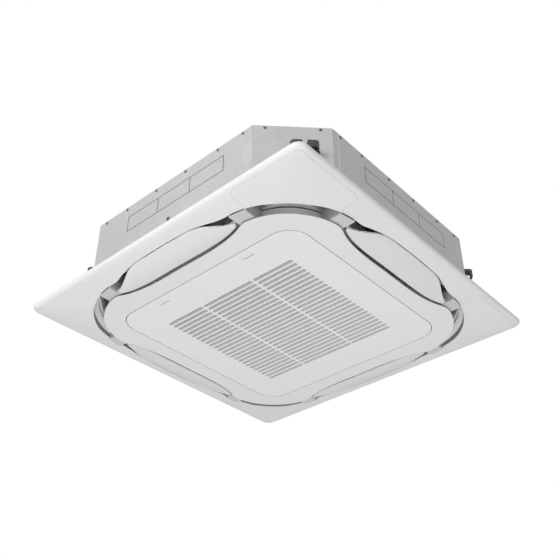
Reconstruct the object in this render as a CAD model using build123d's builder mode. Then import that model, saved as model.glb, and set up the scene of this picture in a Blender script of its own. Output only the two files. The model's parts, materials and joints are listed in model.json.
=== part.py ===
from build123d import *
import os
from math import atan2, cos, degrees, radians, sin, sqrt

os.makedirs("parts", exist_ok=True)

# ---------------------------------------------------------------------------
# Sizes, in millimetres.  Z = 0 is the lower face of the suction grille, +Z is
# up towards the ceiling void and -Y is the front of the unit.
# ---------------------------------------------------------------------------

# Decoration panel
panel_side = 950.0
panel_corner_radius = 24.0
rim_bottom = 31.5               # lower edge of the rim, above the grille face
rim_depth = 4.5                 # lower edge of the rim up to the ceiling plane
rim_wall = 6.0
panel_wall = 3.0
crown = [(0.0, 0.0), (2.0, 4.0), (6.0, 6.6), (16.0, 9.8), (43.0, 15.0), (90.0, 23.5), (112.0, 25.0)]
crown_corner_growth = 0.6       # how fast the crown's corners round off inwards

# Casing above the ceiling
casing_side = 840.0
casing_height = 204.0
casing_corner = 134.5           # length cut off each side at a corner
casing_gap = 6.0                # ceiling plane to the casing's lower edge
sheet = 1.0
casing_flange = 14.0
top_rim_drop = 18.0
bead_width = 14.0
bead_depth = 3.0
bead_ring = 118.0
bead_start = 136.0
bead_end = 360.0
foam_wall = 16.0
panel_gap = 0.2                 # between neighbouring panels of the casing
foam_top = 10.0
liner_hole_reach = 48.0         # pipe holes run this far in from the casing

# Knock-out windows scored into the front and right faces
knockout_pitch = 117.0
knockout_height = 48.0
knockout_middle = 141.5         # above the casing's lower edge
knockout_count = 3
score_width = 2.2
score_depth = 0.4
knockout_shift = 15.0

# Air outlets: one opening in the panel, round the ring
outlet_arc_centre = 203.0
outlet_arc_radius = 211.0
outlet_side = [(417.5, 172.0), (430.5, 120.0), (435.5, 60.0), (436.5, 0.0)]
outlet_straight = 24.0          # height at which the duct starts to narrow
outlet_narrowing = 10.5
duct_wall = 2.5
seal_thickness = 3.0

# Intake ring between the outlets and the grille
ring_arc_centre = 210.0
ring_arc_radius = 173.0
ring_arc_start = 8.0            # degrees
ring_side = [(374.0, 200.0), (362.0, 150.0), (357.5, 0.0)]
ring_wall = 2.0
ring_duct_inset = 24.0

# Suction grille
grille_half = 308.0
grille_corner = 59.0
grille_seam = 2.0
grille_plate = 3.0
slot_count = 25
slot_pitch = 16.7
slot_width = 10.8
slot_lean = -30.0               # degrees from the vertical
slot_half_length = 218.0
rib_place = 88.0
rib_width = 5.0
grille_rib_height = 6.0
slat_frame = 8.0                # raised field beyond the slots' ends
rim_inset = 6.0                 # stiffening rim, in from the grille's edge
rim_rib = 2.0
rim_break = 5.0                 # rim left out beyond each end of a latch pad
hinge_back = 34.0               # hinge axis, in from the grille's back edge
hinge_height = 2.2
hinge_barrel_radius = 2.0
hinge_pin_radius = 1.2
hinge_barrel_start = 280.0      # along the axis, from the grille's middle
hinge_barrel_end = 301.0
hinge_pin_end = 311.0
hinge_end_play = 0.3
hinge_ear_start = 306.0
hinge_ear_end = 313.0
hinge_ear_width = 12.0
hinge_ear_height = 8.0
running_gap = 0.05

# Grille latches
latch_place = 150.0
latch_pad_length = 34.0
latch_pad_width = 9.0
latch_travel = 3.0
latch_gap = 0.35
latch_from_edge = 20.0
latch_height = 9.0
latch_slider = 2.0
latch_slider_margin = 4.0       # slider plate beyond the pad at each end
latch_slider_cover = 11.0       # slider plate beyond the pad at each side
latch_tongue_end = 3.0          # in from the grille's front edge
latch_tongue_width = 14.0

# Air filter
filter_half = 278.0
filter_corner = 30.0
filter_depth = 7.0
filter_border = 9.0
filter_bite = 1.0               # bars run to this far inside the frame's outer edge
filter_bars = 15
filter_bar_width = 3.0
filter_bar_depth = 2.0

# Bridges and flaps
bridge_start = 211.0
bridge_end = 256.0
bridge_bottom = 6.5
bridge_wall = 2.5
flap_thickness = 4.6
flap_crown = [(0.0, 0.0), (41.4, 15.0), (60.0, 22.0), (75.0, 26.3), (88.0, 28.5), (115.0, 29.1)]
flap_side = [(409.0, 160.0), (428.0, 117.0), (432.8, 60.0), (433.8, 0.0)]
flap_inner = [(377.5, 191.0), (370.0, 156.0), (366.6, 105.0), (366.6, 0.0)]
flap_tip = 205.0
flap_tip_outer = 391.0
flap_tip_inner = 383.0
flap_axis_out = 387.0           # hinge axis, from the middle of the unit
flap_axis_height = 13.0
flap_pin_radius = 2.5
flap_barrel_radius = 4.4
flap_barrel_length = 16.0
flap_web_width = 7.0            # web between a barrel and the leaf below it
flap_web_height = 9.0
flap_pin_reach = 8.0
flap_pin_root = 1.0             # a pin starts this deep in its barrel
motor_radius = 11.0
motor_length = 16.0
motor_offset = 7.0
motor_boss_radius = 3.8
motor_boss_length = 5.5
motor_boss_gap = 0.5
motor_ear = 2.0                 # fixing ears beyond the can
motor_ear_width = 8.0
motor_ear_plate = 1.5

# Corner covers
cover_start = 256.0
cover_rim = 12.5
cover_round = 12.0
cover_thickness = 2.5
cover_bed_gap = 0.3
seam = 0.4                      # round a corner cover
panel_bolt_place = (284.0, 409.5)
bolt_radius = 2.5
bolt_head_radius = 5.0
bolt_head_height = 2.6
bolt_head_top = 25.0
boss_radius = 8.0
bolt_head_gap = 1.0

# Drain pan
pan_outer = 352.0
pan_inner = 296.0
pan_height = 54.0
pan_corner = 80.0
trough_floor = 20.0
pan_arm_height = 18.0
pan_arm_place = 233.5
pan_arm_width = 26.0
sump_radius = 20.0
sump_clear = 3.0                # room round the pump where it dips into the pan
pump_dip_clear = 9.0            # and below it
sump_floor = 12.0
pan_inner_tightening = 30.0     # how much tighter the pan's inner corners are
trough_gap = 3.0
island_gap = 1.0
island_tightening = 20.0

# Heat exchanger
coil_outer = 343.0
coil_inner = 303.0
coil_corner = 72.0
coil_end = 232.0                # where the coil stops beside its open corner
tube_radius = 4.0
tube_rows = 6
end_plate = 1.5

# Bell mouth and fan
mouth_half = 306.0
mouth_plate = 2.5
throat_radius = 163.0
mouth_radius = 204.0
throat_top = 116.0
throat_bend = 0.22              # share of the flare left at the bend
throat_bend_height = 22.0
mouth_slope = 0.15
mouth_box_gap = 4.0
fan_radius = 234.0
fan_eye = 172.0
fan_bottom = 112.0
fan_rim_bottom = 134.0
fan_plate_top = 221.0
fan_plate = 3.0
hub_radius = 88.0
hub_depth = 44.0
blade_count = 7
blade_inner = 150.0
blade_thickness = 4.0
blade_sweep = 34.0              # degrees from a blade's front edge to its tail
shaft_radius = 6.0
hub_boss_radius = 14.0
hub_boss_drop = 10.0
hub_boss_rise = 6.0
hub_flank = 10.0                # run of the hub's cone to each side of its radius
fan_nut_radius = 10.5
fan_nut_height = 9.0
shroud_run = 16.0
shroud_rise = 12.0
shroud_wall = 2.5
shroud_slope = 0.08
blade_root_height = 26.0
blade_bite = 1.0                # blades run into shroud and plate
blade_tail_gap = 3.0
blade_camber = 0.36
shaft_bottom = 150.0

# Fan motor
fan_motor_radius = 74.0
fan_motor_height = 42.0
motor_bracket_reach = 104.0
motor_bracket_plate = 3.0
motor_bracket_arm = 30.0
motor_bracket_rim = 4.0         # bracket beyond the motor
bracket_gap = 4.0
mount_height = 3.0              # rubber between bracket and top plate
mount_inset = 16.0
motor_neck_radius = 24.0
motor_neck_height = 5.0
motor_shoulder = 8.0
motor_round = 4.0
motor_skirt = 12.0
shaft_seat = 24.0               # shaft's reach into the motor
shaft_end_gap = 2.0
mount_radius = 9.0

# Drain pump and float switch, at the open corner of the coil
pump_place = (-303.0, 303.0)
pump_radius = 27.0
pump_wall = 2.5
pump_bottom = 90.0
pump_height = 40.0
pump_tube_radius = 8.0
impeller_radius = 18.0
pump_shaft_radius = 2.5
pump_motor_radius = 21.0
pump_motor_height = 28.0
pump_inlet_gap = 4.0            # above the sump's floor
pump_inlet_wall = 2.0
pump_cone = 6.0
spout_shift = (10.0, 18.0)
spout_drop = 12.0
spout_radius = 7.0
spout_bore = 5.0
spout_length = 20.0
spout_root = 6.0
impeller_low = 5.0
impeller_blade_height = 10.0
impeller_blade = 2.0
impeller_disc = 2.5
impeller_disc_rise = 14.0
impeller_rim = 1.0
pump_shaft_rise = 20.0
pump_shaft_seat = 26.0
pump_bracket_plate = 2.0
pump_bracket_arm = 24.0
pump_bracket_post = 26.0
float_place = (-330.0, 268.0)
float_radius = 11.0
float_height = 16.0
float_travel = 12.0
float_stem_radius = 3.0
float_rest = 66.0
float_fit = 0.3
float_seat = 3.0                # stem below the resting float
float_seat_rim = 3.0
float_seat_height = 2.8
float_stop_gap = 1.0
float_stop_rim = 4.0
float_stop_height = 14.0

# Pipes and drain
gas_pipe_radius = 7.94
liquid_pipe_radius = 4.76
pipe_fit = 0.06
gas_pipe_along = -30.0          # along the cut corner, from its middle
liquid_pipe_along = -58.0
pipe_height = 175.0
pipe_reach = 26.0
pipe_wall = 1.0
shell_pipe_gap = 5.0            # sheet steel, foam and cover plate round each pipe
foam_pipe_gap = 3.0
plate_pipe_gap = 0.3
pipe_plate_size = (58.0, 50.0)
pipe_plate_corner = 6.0
pipe_plate_thickness = 2.5
nut_chamfer = 1.0               # a pipe's collar is this much smaller than its nut
gas_pipe_shift = 5.0            # where each pipe leaves the coil's end plate
liquid_pipe_shift = 6.0
collar_length = 10.0
pipe_bend = 20.0
nut_length = 20.0
gas_nut_flat = 27.0
liquid_nut_flat = 20.0
hose_radius = 7.0
hose_wall = 2.0
hose_knee = 25.2                # straight run between spout and first bend
hose_bend = 12.6
drain_outer_radius = 16.0
drain_bore_radius = 12.5
drain_reach = 46.0
drain_height = 192.0
drain_along = -238.0
drain_gap = 1.0
drain_root = 4.0                # socket beyond the foam, inside the casing
drain_flange = 8.0
drain_flange_plate = 2.0

# Cable gland on the left face
gland_radius = 11.0
gland_bore = 7.0
gland_along = 150.0
gland_height = 190.0
gland_gap = 0.5
gland_root = 2.0
gland_reach = 10.0
gland_hex = 3.0                 # hexagon's flats beyond the body
gland_hex_height = 5.0

# Hanger brackets, pitched for four 10 mm rods
hanger_pitch_x = 780.0
hanger_pitch_y = 710.0
hanger_slot_radius = 6.0
hanger_arm = 28.0
hanger_height = 134.0           # above the rim's lower edge
hanger_plate = 3.0
hanger_tip = 9.0                # plate beyond the rod's middle
hanger_corner = 10.0
hanger_leg = 9.0                # where the side flanges are deepest, beside the casing
hanger_leg_height = 30.0
hanger_lip = 17.0
hanger_arch_radius = 8.0
hanger_arch_drop = 12.0
hanger_base_margin = 4.0        # base plate beyond the arms
hanger_base_height = 46.0
hanger_rivet_inset = 10.0
hanger_rivet_drops = (9.0, 33.0)
hanger_rivet_radius = 3.5
hanger_rivet_height = 2.0

# Control box
box_half_x = 128.0
box_front = 213.0
box_back = 288.0
box_height = 42.0
box_wall = 1.2
lid_margin = 2.0
lid_corner = 5.0
board_middle = -20.0
board_size = (180.0, 60.0)
board_thickness = 1.6
board_depth = 10.0              # board's lower face below the box's roof
board_posts = (80.0, 24.0)
board_post_radius = 3.0
capacitor_places = [(-70.0, 0.0), (-30.0, 8.0), (20.0, -6.0)]
capacitor_radius = 11.0
capacitor_height = 20.0
heat_sink_place = 52.0
heat_sink_size = (22.0, 40.0)
terminal_place = 100.0
terminal_size = (36.0, 60.0)
terminal_height = 20.0
terminal_pitch = 10.0
terminal_count = 5
terminal_slot = (24.0, 7.0)
terminal_slot_depth = 8.0

# Fasteners on the casing
screw_places = [55.0, 170.0, 255.0]
corner_screw_place = 66.0
screw_head_radius = 4.0
screw_head_height = 2.0
screw_drop = 7.5

# Derived heights
ceiling = rim_bottom + rim_depth
casing_bottom = ceiling + casing_gap
casing_top = casing_bottom + casing_height
duct_top = casing_bottom - seal_thickness
foam_ceiling = casing_top - sheet - bead_depth - foam_top
coil_low = casing_bottom + trough_floor
coil_high = foam_ceiling
ring_open_half = grille_half + grille_seam
ring_open_corner = grille_corner + grille_seam
hinge_axis_y = grille_half - hinge_back
latch_y = -(grille_half - latch_from_edge)
mouth_bottom = casing_bottom - mouth_plate
SIDES = ["front", "right", "back", "left"]


def save(builder, name):
    """Label a finished piece and write it to its own file."""
    builder.part.label = name
    export_step(builder.part, f"parts/{name}.step")


def turned(shape, quarter):
    """A copy of a piece turned about the unit's middle by quarter turns."""
    return shape.rotate(Axis.Z, 90.0 * quarter)


# ---------------------------------------------------------------------------
# Outlines shared by neighbouring pieces
# ---------------------------------------------------------------------------

def octagon_points(inset=0.0):
    """The eight corners of the casing's outline moved in by `inset`."""
    half = casing_side / 2 - inset
    near = half - (casing_corner - inset * (2 - sqrt(2)))
    return [
        (near, -half), (half, -near), (half, near), (near, half),
        (-near, half), (-half, near), (-half, -near), (-near, -half),
    ]


def octagon(inset=0.0):
    """The casing's outline moved in by `inset`."""
    with BuildLine() as line:
        Polyline(*octagon_points(inset), close=True)
    make_face(line.edges())


def panel_gaps(bottom, top):
    """Thin gaps on the mitres of the casing's eight upright edges."""
    with BuildPart() as body:
        with BuildSketch(Plane.XY.offset(bottom)):
            for outer, inner in zip(octagon_points(-foam_wall), octagon_points(2 * foam_wall)):
                run = Vector(inner) - Vector(outer)
                middle = (Vector(inner) + Vector(outer)) / 2
                with Locations(Location(middle, (0, 0, degrees(atan2(run.Y, run.X))))):
                    Rectangle(run.length, panel_gap)
        extrude(amount=top - bottom)
    return body.part


def rounded_outline(centre, radius, start, side, grow):
    """Four corner arcs joined by one smooth curve along each side.

    `side` lists points from beside a corner to the middle of the side, as
    (distance from the unit's middle, distance along the side).
    """
    radius = radius + grow
    a = radians(start)
    points = [(out + grow, along) for out, along in side]
    points += [(out, -along) for out, along in reversed(points[:-1])]
    first = (centre + radius * cos(a), centre + radius * sin(a))
    with BuildLine() as line:
        for quarter in range(4):
            turn = Rot(0, 0, 90 * quarter)
            with BuildLine(mode=Mode.PRIVATE) as piece:
                CenterArc((centre, centre), radius, start, 90 - 2 * start)
                Spline(
                    first, *points, (first[0], -first[1]),
                    tangents=((sin(a), -cos(a)), (-sin(a), -cos(a))),
                )
            add(turn * piece.line)
    make_face(line.edges())


def outlet_outline(grow=0.0):
    """The edge of the panel's opening, where the air leaves."""
    rounded_outline(outlet_arc_centre, outlet_arc_radius, 0.0, outlet_side, grow)


def ring_outline(grow=0.0):
    """The outer edge of the intake ring."""
    rounded_outline(ring_arc_centre, ring_arc_radius, ring_arc_start, ring_side, grow)


def square(half, corner):
    RectangleRounded(2 * half, 2 * half, corner)


def crown_solid(lift, top, profile=crown):
    """All that lies above a crowned lower face, raised by `lift`."""
    with BuildPart() as body:
        for inset, drop in profile:
            with BuildSketch(Plane.XY.offset(rim_bottom - drop + lift)):
                square(
                    panel_side / 2 - inset,
                    panel_corner_radius + crown_corner_growth * inset,
                )
        loft(ruled=True)
        with BuildSketch(Plane.XY.offset(rim_bottom + lift)):
            square(panel_side / 2, panel_corner_radius)
        extrude(amount=top - rim_bottom - lift)
    return body.part


def duct_space(grow=0.0):
    """The space inside the panel's outlet duct: straight, then narrowing."""
    with BuildPart() as body:
        with BuildSketch(Plane.XY.offset(-sheet)):
            outlet_outline(grow)
        extrude(amount=outlet_straight + sheet)
        with BuildSketch(Plane.XY.offset(outlet_straight)):
            outlet_outline(grow)
        with BuildSketch(Plane.XY.offset(duct_top)):
            outlet_outline(grow - outlet_narrowing)
        loft(ruled=True)
    return body.part


def cover_columns(grow, bottom, top):
    """Four columns over the corner covers' outline."""
    low = cover_start - grow
    high = panel_side / 2 - cover_rim + grow
    middle = (low + high) / 2
    with BuildPart() as body:
        with BuildSketch(Plane.XY.offset(bottom)):
            with Locations(*[(sx * middle, sy * middle) for sx in (1, -1) for sy in (1, -1)]):
                RectangleRounded(high - low, high - low, cover_round + grow)
        extrude(amount=top - bottom)
    return body.part


crown_face = crown_solid(0.0, ceiling)
outlet_duct = duct_space()

# ---------------------------------------------------------------------------
# Casing: folded steel shell, top plate, foam liner
# ---------------------------------------------------------------------------

corner_face = Plane(
    (-(casing_side - casing_corner) / 2, (casing_side - casing_corner) / 2, pipe_height),
    x_dir=(-1 / sqrt(2), -1 / sqrt(2), 0), z_dir=(-1, 1, 0),
)
gland_face = Plane((-casing_side / 2, gland_along, gland_height), z_dir=(-1, 0, 0))

with BuildPart() as casing_shell:
    with BuildSketch(Plane.XY.offset(casing_bottom)):
        octagon()
    extrude(amount=casing_height)
    with BuildSketch(Plane.XY.offset(casing_bottom + sheet)):
        octagon(sheet)
    extrude(amount=casing_height, mode=Mode.SUBTRACT)
    with BuildSketch(Plane.XY.offset(casing_bottom)):
        octagon(casing_flange)
    extrude(amount=sheet, mode=Mode.SUBTRACT)
    # Scored knock-out windows: a frame and the lines between them
    row = knockout_count * knockout_pitch
    for face in (
        Plane((0, -casing_side / 2, casing_bottom + knockout_middle), x_dir=(1, 0, 0), z_dir=(0, -1, 0)),
        Plane((casing_side / 2, 0, casing_bottom + knockout_middle), x_dir=(0, 1, 0), z_dir=(1, 0, 0)),
    ):
        with BuildSketch(face):
            with Locations((knockout_shift, 0)):
                Rectangle(row + score_width, knockout_height + score_width)
                with GridLocations(knockout_pitch, 0, knockout_count, 1):
                    Rectangle(
                        knockout_pitch - score_width, knockout_height - score_width,
                        mode=Mode.SUBTRACT,
                    )
        extrude(amount=-score_depth, mode=Mode.SUBTRACT)
    # Holes for the pipes at the back left corner, the drain and the cables
    with BuildSketch(corner_face):
        with Locations((gas_pipe_along, 0)):
            Circle(gas_pipe_radius + shell_pipe_gap)
        with Locations((liquid_pipe_along, 0)):
            Circle(liquid_pipe_radius + shell_pipe_gap)
    extrude(amount=-2 * sheet, mode=Mode.SUBTRACT)
    with BuildSketch(Plane((drain_along, casing_side / 2, drain_height), z_dir=(0, 1, 0))):
        Circle(drain_outer_radius + drain_gap)
    extrude(amount=-2 * sheet, mode=Mode.SUBTRACT)
    with BuildSketch(gland_face):
        Circle(gland_radius + gland_gap)
    extrude(amount=-2 * sheet, mode=Mode.SUBTRACT)
    with BuildSketch(Plane.XY.offset(casing_bottom)):
        with PolarLocations(0, 4):
            with Locations(panel_bolt_place):
                Circle(bolt_radius + running_gap)
    extrude(amount=sheet, mode=Mode.SUBTRACT)
    # The eight panels meet on the mitres of the upright edges
    add(panel_gaps(casing_bottom - sheet, casing_top + sheet), mode=Mode.SUBTRACT)
save(casing_shell, "casing_shell")

with BuildPart() as top_plate:
    with BuildSketch(Plane.XY.offset(casing_top - sheet)):
        octagon(sheet)
    extrude(amount=sheet)
    with BuildSketch(Plane.XY.offset(casing_top - top_rim_drop)):
        octagon(sheet)
        with BuildSketch(mode=Mode.PRIVATE) as hollow:
            octagon(2 * sheet)
        add(hollow.sketch, mode=Mode.SUBTRACT)
    extrude(amount=top_rim_drop)
    # Pressed stiffening beads: a ring and eight spokes, sunk from above
    with BuildSketch(Plane.XY.offset(casing_top - sheet - bead_depth)):
        Circle(bead_ring + bead_width / 2)
        Circle(bead_ring - bead_width / 2, mode=Mode.SUBTRACT)
        with PolarLocations(0, 8):
            with Locations(((bead_start + bead_end) / 2, 0)):
                SlotOverall(bead_end - bead_start, bead_width)
    extrude(amount=bead_depth + sheet / 2)
    with BuildSketch(Plane.XY.offset(casing_top - bead_depth)):
        Circle(bead_ring + bead_width / 2 - sheet)
        Circle(bead_ring - bead_width / 2 + sheet, mode=Mode.SUBTRACT)
        with PolarLocations(0, 8):
            with Locations(((bead_start + bead_end) / 2, 0)):
                SlotOverall(bead_end - bead_start - 2 * sheet, bead_width - 2 * sheet)
    extrude(amount=bead_depth + sheet, mode=Mode.SUBTRACT)
save(top_plate, "top_plate")

with BuildPart() as insulation_liner:
    # Eight wall slabs under one top slab
    with BuildSketch(Plane.XY.offset(casing_bottom + sheet)):
        octagon(2 * sheet)
        with BuildSketch(mode=Mode.PRIVATE) as liner_hollow:
            octagon(2 * sheet + foam_wall)
        add(liner_hollow.sketch, mode=Mode.SUBTRACT)
    extrude(amount=foam_ceiling - panel_gap - casing_bottom - sheet)
    add(panel_gaps(casing_bottom, foam_ceiling), mode=Mode.SUBTRACT)
    with BuildSketch(Plane.XY.offset(foam_ceiling)):
        octagon(2 * sheet)
        Circle(motor_bracket_reach + bracket_gap, mode=Mode.SUBTRACT)
    extrude(amount=foam_top)
    with BuildSketch(corner_face):
        with Locations((gas_pipe_along, 0)):
            Circle(gas_pipe_radius + foam_pipe_gap)
        with Locations((liquid_pipe_along, 0)):
            Circle(liquid_pipe_radius + foam_pipe_gap)
    extrude(amount=-liner_hole_reach, mode=Mode.SUBTRACT)
    with BuildSketch(Plane((drain_along, casing_side / 2, drain_height), z_dir=(0, 1, 0))):
        Circle(drain_outer_radius + drain_gap)
    extrude(amount=-liner_hole_reach, mode=Mode.SUBTRACT)
    with BuildSketch(gland_face):
        Circle(gland_radius + gland_gap)
    extrude(amount=-liner_hole_reach, mode=Mode.SUBTRACT)
save(insulation_liner, "insulation_liner")

# ---------------------------------------------------------------------------
# Hanger brackets, one on each cut corner
# ---------------------------------------------------------------------------

corner_reach = (casing_side - casing_corner) / sqrt(2)      # middle to a cut corner's face
rod_reach = (hanger_pitch_x + hanger_pitch_y) / 2 / sqrt(2) - corner_reach
rod_along = (hanger_pitch_x - hanger_pitch_y) / 2 / sqrt(2)
hanger_z = rim_bottom + hanger_height
hanger_width = 2 * (hanger_slot_radius + hanger_arm)
hanger_reach = rod_reach + hanger_tip
hanger_blank = 2 * corner_reach                             # before it is cut at the casing

with BuildPart() as hanger:
    # Drawn lying along +X: the casing's corner face is the plane x = 0.  A tray
    # with its edges turned down, deepest beside the casing
    with BuildSketch(Plane.XY.offset(hanger_z - hanger_leg_height)):
        with Locations((hanger_reach - hanger_blank / 2, 0)):
            RectangleRounded(hanger_blank, hanger_width, hanger_corner)
    extrude(amount=hanger_leg_height + hanger_plate)
    with BuildSketch(Plane.XY.offset(hanger_z - hanger_leg_height)):
        with Locations((hanger_reach - hanger_plate - hanger_blank / 2, 0)):
            RectangleRounded(
                hanger_blank, hanger_width - 2 * hanger_plate, hanger_corner - hanger_plate,
            )
    extrude(amount=hanger_leg_height, mode=Mode.SUBTRACT)
    # What is left of it seen from the side
    with BuildSketch(Plane.XZ.offset(-hanger_width)):
        with Locations((hanger_reach / 2, hanger_z + (hanger_plate - hanger_lip) / 2)):
            Rectangle(hanger_reach, hanger_plate + hanger_lip)
        with Locations((hanger_leg / 2, hanger_z - hanger_leg_height / 2)):
            Rectangle(hanger_leg, hanger_leg_height)
        with Locations((hanger_reach / 2, hanger_z - hanger_arch_drop)):
            Circle(hanger_arch_radius, mode=Mode.SUBTRACT)
    extrude(amount=2 * hanger_width, mode=Mode.INTERSECT)
    # Slot for the rod, open outwards
    with BuildSketch(Plane.XY.offset(hanger_z - hanger_leg_height)):
        with Locations((rod_reach, 0)):
            Circle(hanger_slot_radius)
        with Locations((rod_reach + hanger_reach / 2, 0)):
            Rectangle(hanger_reach, 2 * hanger_slot_radius)
    extrude(amount=hanger_leg_height + 2 * hanger_plate, mode=Mode.SUBTRACT)
    # Base plate riveted to the casing
    with BuildSketch(Plane.XY.offset(hanger_z - hanger_base_height + hanger_plate)):
        with Locations((hanger_plate / 2, 0)):
            Rectangle(hanger_plate, hanger_width + 2 * hanger_base_margin)
    extrude(amount=hanger_base_height)
    rivet_along = hanger_width / 2 - hanger_rivet_inset
    with Locations(*[
        Plane((hanger_plate, side * rivet_along, hanger_z - drop), z_dir=(1, 0, 0))
        for side in (1, -1) for drop in hanger_rivet_drops
    ]):
        Cylinder(
            hanger_rivet_radius, hanger_rivet_height,
            align=(Align.CENTER, Align.CENTER, Align.MIN),
        )

hanger_corners = [
    ("front_right", -45.0, 1.0), ("back_right", 45.0, -1.0),
    ("back_left", 135.0, 1.0), ("front_left", 225.0, -1.0),
]
for corner, angle, hand in hanger_corners:
    with BuildPart() as hanger_bracket:
        place = Plane.XY.rotated((0, 0, angle)).location * Pos(corner_reach, hand * rod_along, 0)
        add(place * hanger.part)
    save(hanger_bracket, f"hanger_bracket_{corner}")

# ---------------------------------------------------------------------------
# Decoration panel: frame, corner covers, seals
# ---------------------------------------------------------------------------

bed_lift = cover_thickness + cover_bed_gap
with BuildPart() as bed_above:
    add(crown_solid(bed_lift, ceiling))

with BuildPart() as panel_frame:
    add(crown_face)
    # Hollow back
    with BuildPart(mode=Mode.PRIVATE) as hollow_back:
        add(crown_solid(panel_wall, ceiling + sheet))
        with BuildSketch(Plane.XY.offset(0)):
            square(panel_side / 2 - rim_wall, panel_corner_radius)
        extrude(amount=casing_top, mode=Mode.INTERSECT)
    add(hollow_back.part, mode=Mode.SUBTRACT)
    # Raised beds for the corner covers
    with BuildPart(mode=Mode.PRIVATE) as beds:
        add(bed_above.part)
        add(crown_solid(bed_lift + panel_wall, casing_bottom), mode=Mode.SUBTRACT)
        add(cover_columns(panel_wall, 0, ceiling), mode=Mode.INTERSECT)
    add(beds.part)
    # Outer wall of the outlet duct, standing on the crown
    with BuildPart(mode=Mode.PRIVATE) as duct_side:
        add(duct_space(duct_wall))
        add(crown_solid(0.0, duct_top), mode=Mode.INTERSECT)
    add(duct_side.part)
    # Bosses for the bolts that hold the panel up to the casing
    with BuildSketch(Plane.XY.offset(rim_bottom)):
        with PolarLocations(0, 4):
            with Locations(panel_bolt_place):
                Circle(boss_radius)
    extrude(amount=casing_bottom - rim_bottom)
    with BuildSketch(Plane.XY.offset(rim_bottom - crown[-1][1] + bed_lift)):
        with PolarLocations(0, 4):
            with Locations(panel_bolt_place):
                Circle(boss_radius)
    extrude(amount=crown[-1][1])
    add(outlet_duct, mode=Mode.SUBTRACT)
    # Room for the covers
    with BuildPart(mode=Mode.PRIVATE) as cover_room:
        add(cover_columns(0.0, -sheet, ceiling - panel_wall))
        add(bed_above.part, mode=Mode.SUBTRACT)
    add(cover_room.part, mode=Mode.SUBTRACT)
    with BuildSketch(Plane.XY):
        with PolarLocations(0, 4):
            with Locations(panel_bolt_place):
                Circle(bolt_radius + running_gap)
    extrude(amount=casing_bottom, mode=Mode.SUBTRACT)
    with BuildSketch(Plane.XY):
        with PolarLocations(0, 4):
            with Locations(panel_bolt_place):
                Circle(bolt_head_radius + bolt_head_gap)
    extrude(amount=bolt_head_top, mode=Mode.SUBTRACT)
save(panel_frame, "panel_frame")

with BuildPart() as cover_set:
    add(crown_face)
    add(crown_solid(cover_thickness, ceiling), mode=Mode.SUBTRACT)
    add(cover_columns(-seam, 0, ceiling), mode=Mode.INTERSECT)
    add(outlet_duct, mode=Mode.SUBTRACT)
cover_solids = sorted(cover_set.part.solids(), key=lambda s: degrees(atan2(s.center().Y, s.center().X)))
for corner, cover_shape in zip(("front_left", "front_right", "back_right", "back_left"), cover_solids):
    with BuildPart() as corner_cover:
        add(cover_shape)
    save(corner_cover, f"corner_cover_{corner}")

with BuildPart() as panel_seals:
    with BuildSketch(Plane.XY.offset(duct_top)):
        with BuildSketch(mode=Mode.PRIVATE) as seal_in:
            outlet_outline(-outlet_narrowing)
        with BuildSketch(mode=Mode.PRIVATE) as seal_out:
            outlet_outline(-outlet_narrowing + duct_wall)
        add(seal_out.sketch)
        add(seal_in.sketch, mode=Mode.SUBTRACT)
        with BuildSketch(mode=Mode.PRIVATE) as pad_in:
            ring_outline(-ring_duct_inset - duct_wall)
        with BuildSketch(mode=Mode.PRIVATE) as pad_out:
            ring_outline(-ring_duct_inset)
        add(pad_out.sketch)
        add(pad_in.sketch, mode=Mode.SUBTRACT)
    extrude(amount=seal_thickness)
save(panel_seals, "panel_seals")

with BuildPart() as panel_bolts:
    with BuildSketch(Plane.XY.offset(bolt_head_top)):
        with PolarLocations(0, 4):
            with Locations(panel_bolt_place):
                Circle(bolt_radius)
    extrude(amount=casing_bottom + sheet - bolt_head_top)
    with BuildSketch(Plane.XY.offset(bolt_head_top - bolt_head_height)):
        with PolarLocations(0, 4):
            with Locations(panel_bolt_place):
                Circle(bolt_head_radius)
    extrude(amount=bolt_head_height)
save(panel_bolts, "panel_bolts")

# ---------------------------------------------------------------------------
# Intake ring and the eight bridges that carry it
# ---------------------------------------------------------------------------

with BuildPart() as intake_ring:
    with BuildSketch(Plane.XY):
        ring_outline()
    extrude(amount=ring_wall)
    with BuildSketch(Plane.XY.offset(ring_wall)):
        with BuildSketch(mode=Mode.PRIVATE) as wall_out:
            ring_outline(-ring_duct_inset)
        with BuildSketch(mode=Mode.PRIVATE) as wall_in:
            ring_outline(-ring_duct_inset - duct_wall)
        add(wall_out.sketch)
        add(wall_in.sketch, mode=Mode.SUBTRACT)
    extrude(amount=duct_top - ring_wall)
    with BuildSketch(Plane.XY.offset(ring_wall)):
        square(ring_open_half + duct_wall, ring_open_corner + duct_wall)
    extrude(amount=mouth_bottom - ring_wall)
    # Ears that hold the ends of the grille's hinge pins
    with BuildSketch(Plane.XY):
        for side in (1, -1):
            with Locations((side * (hinge_ear_start + hinge_ear_end) / 2, hinge_axis_y)):
                Rectangle(hinge_ear_end - hinge_ear_start, hinge_ear_width)
    extrude(amount=hinge_ear_height)
    with BuildSketch(Plane.XY):
        square(ring_open_half, ring_open_corner)
    extrude(amount=casing_bottom, mode=Mode.SUBTRACT)
    for side in (1, -1):
        with BuildSketch(Plane.YZ.offset(side * (hinge_pin_end + hinge_end_play))):
            with Locations((hinge_axis_y, hinge_height)):
                Circle(hinge_pin_radius + running_gap)
        extrude(amount=-side * (hinge_pin_end + hinge_end_play - hinge_barrel_end), mode=Mode.SUBTRACT)
save(intake_ring, "intake_ring")

with BuildPart() as bridge_room:
    add(outlet_duct)
    with BuildSketch(Plane.XY.offset(-sheet)):
        ring_outline(-ring_duct_inset)
    extrude(amount=casing_top, mode=Mode.SUBTRACT)

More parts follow.
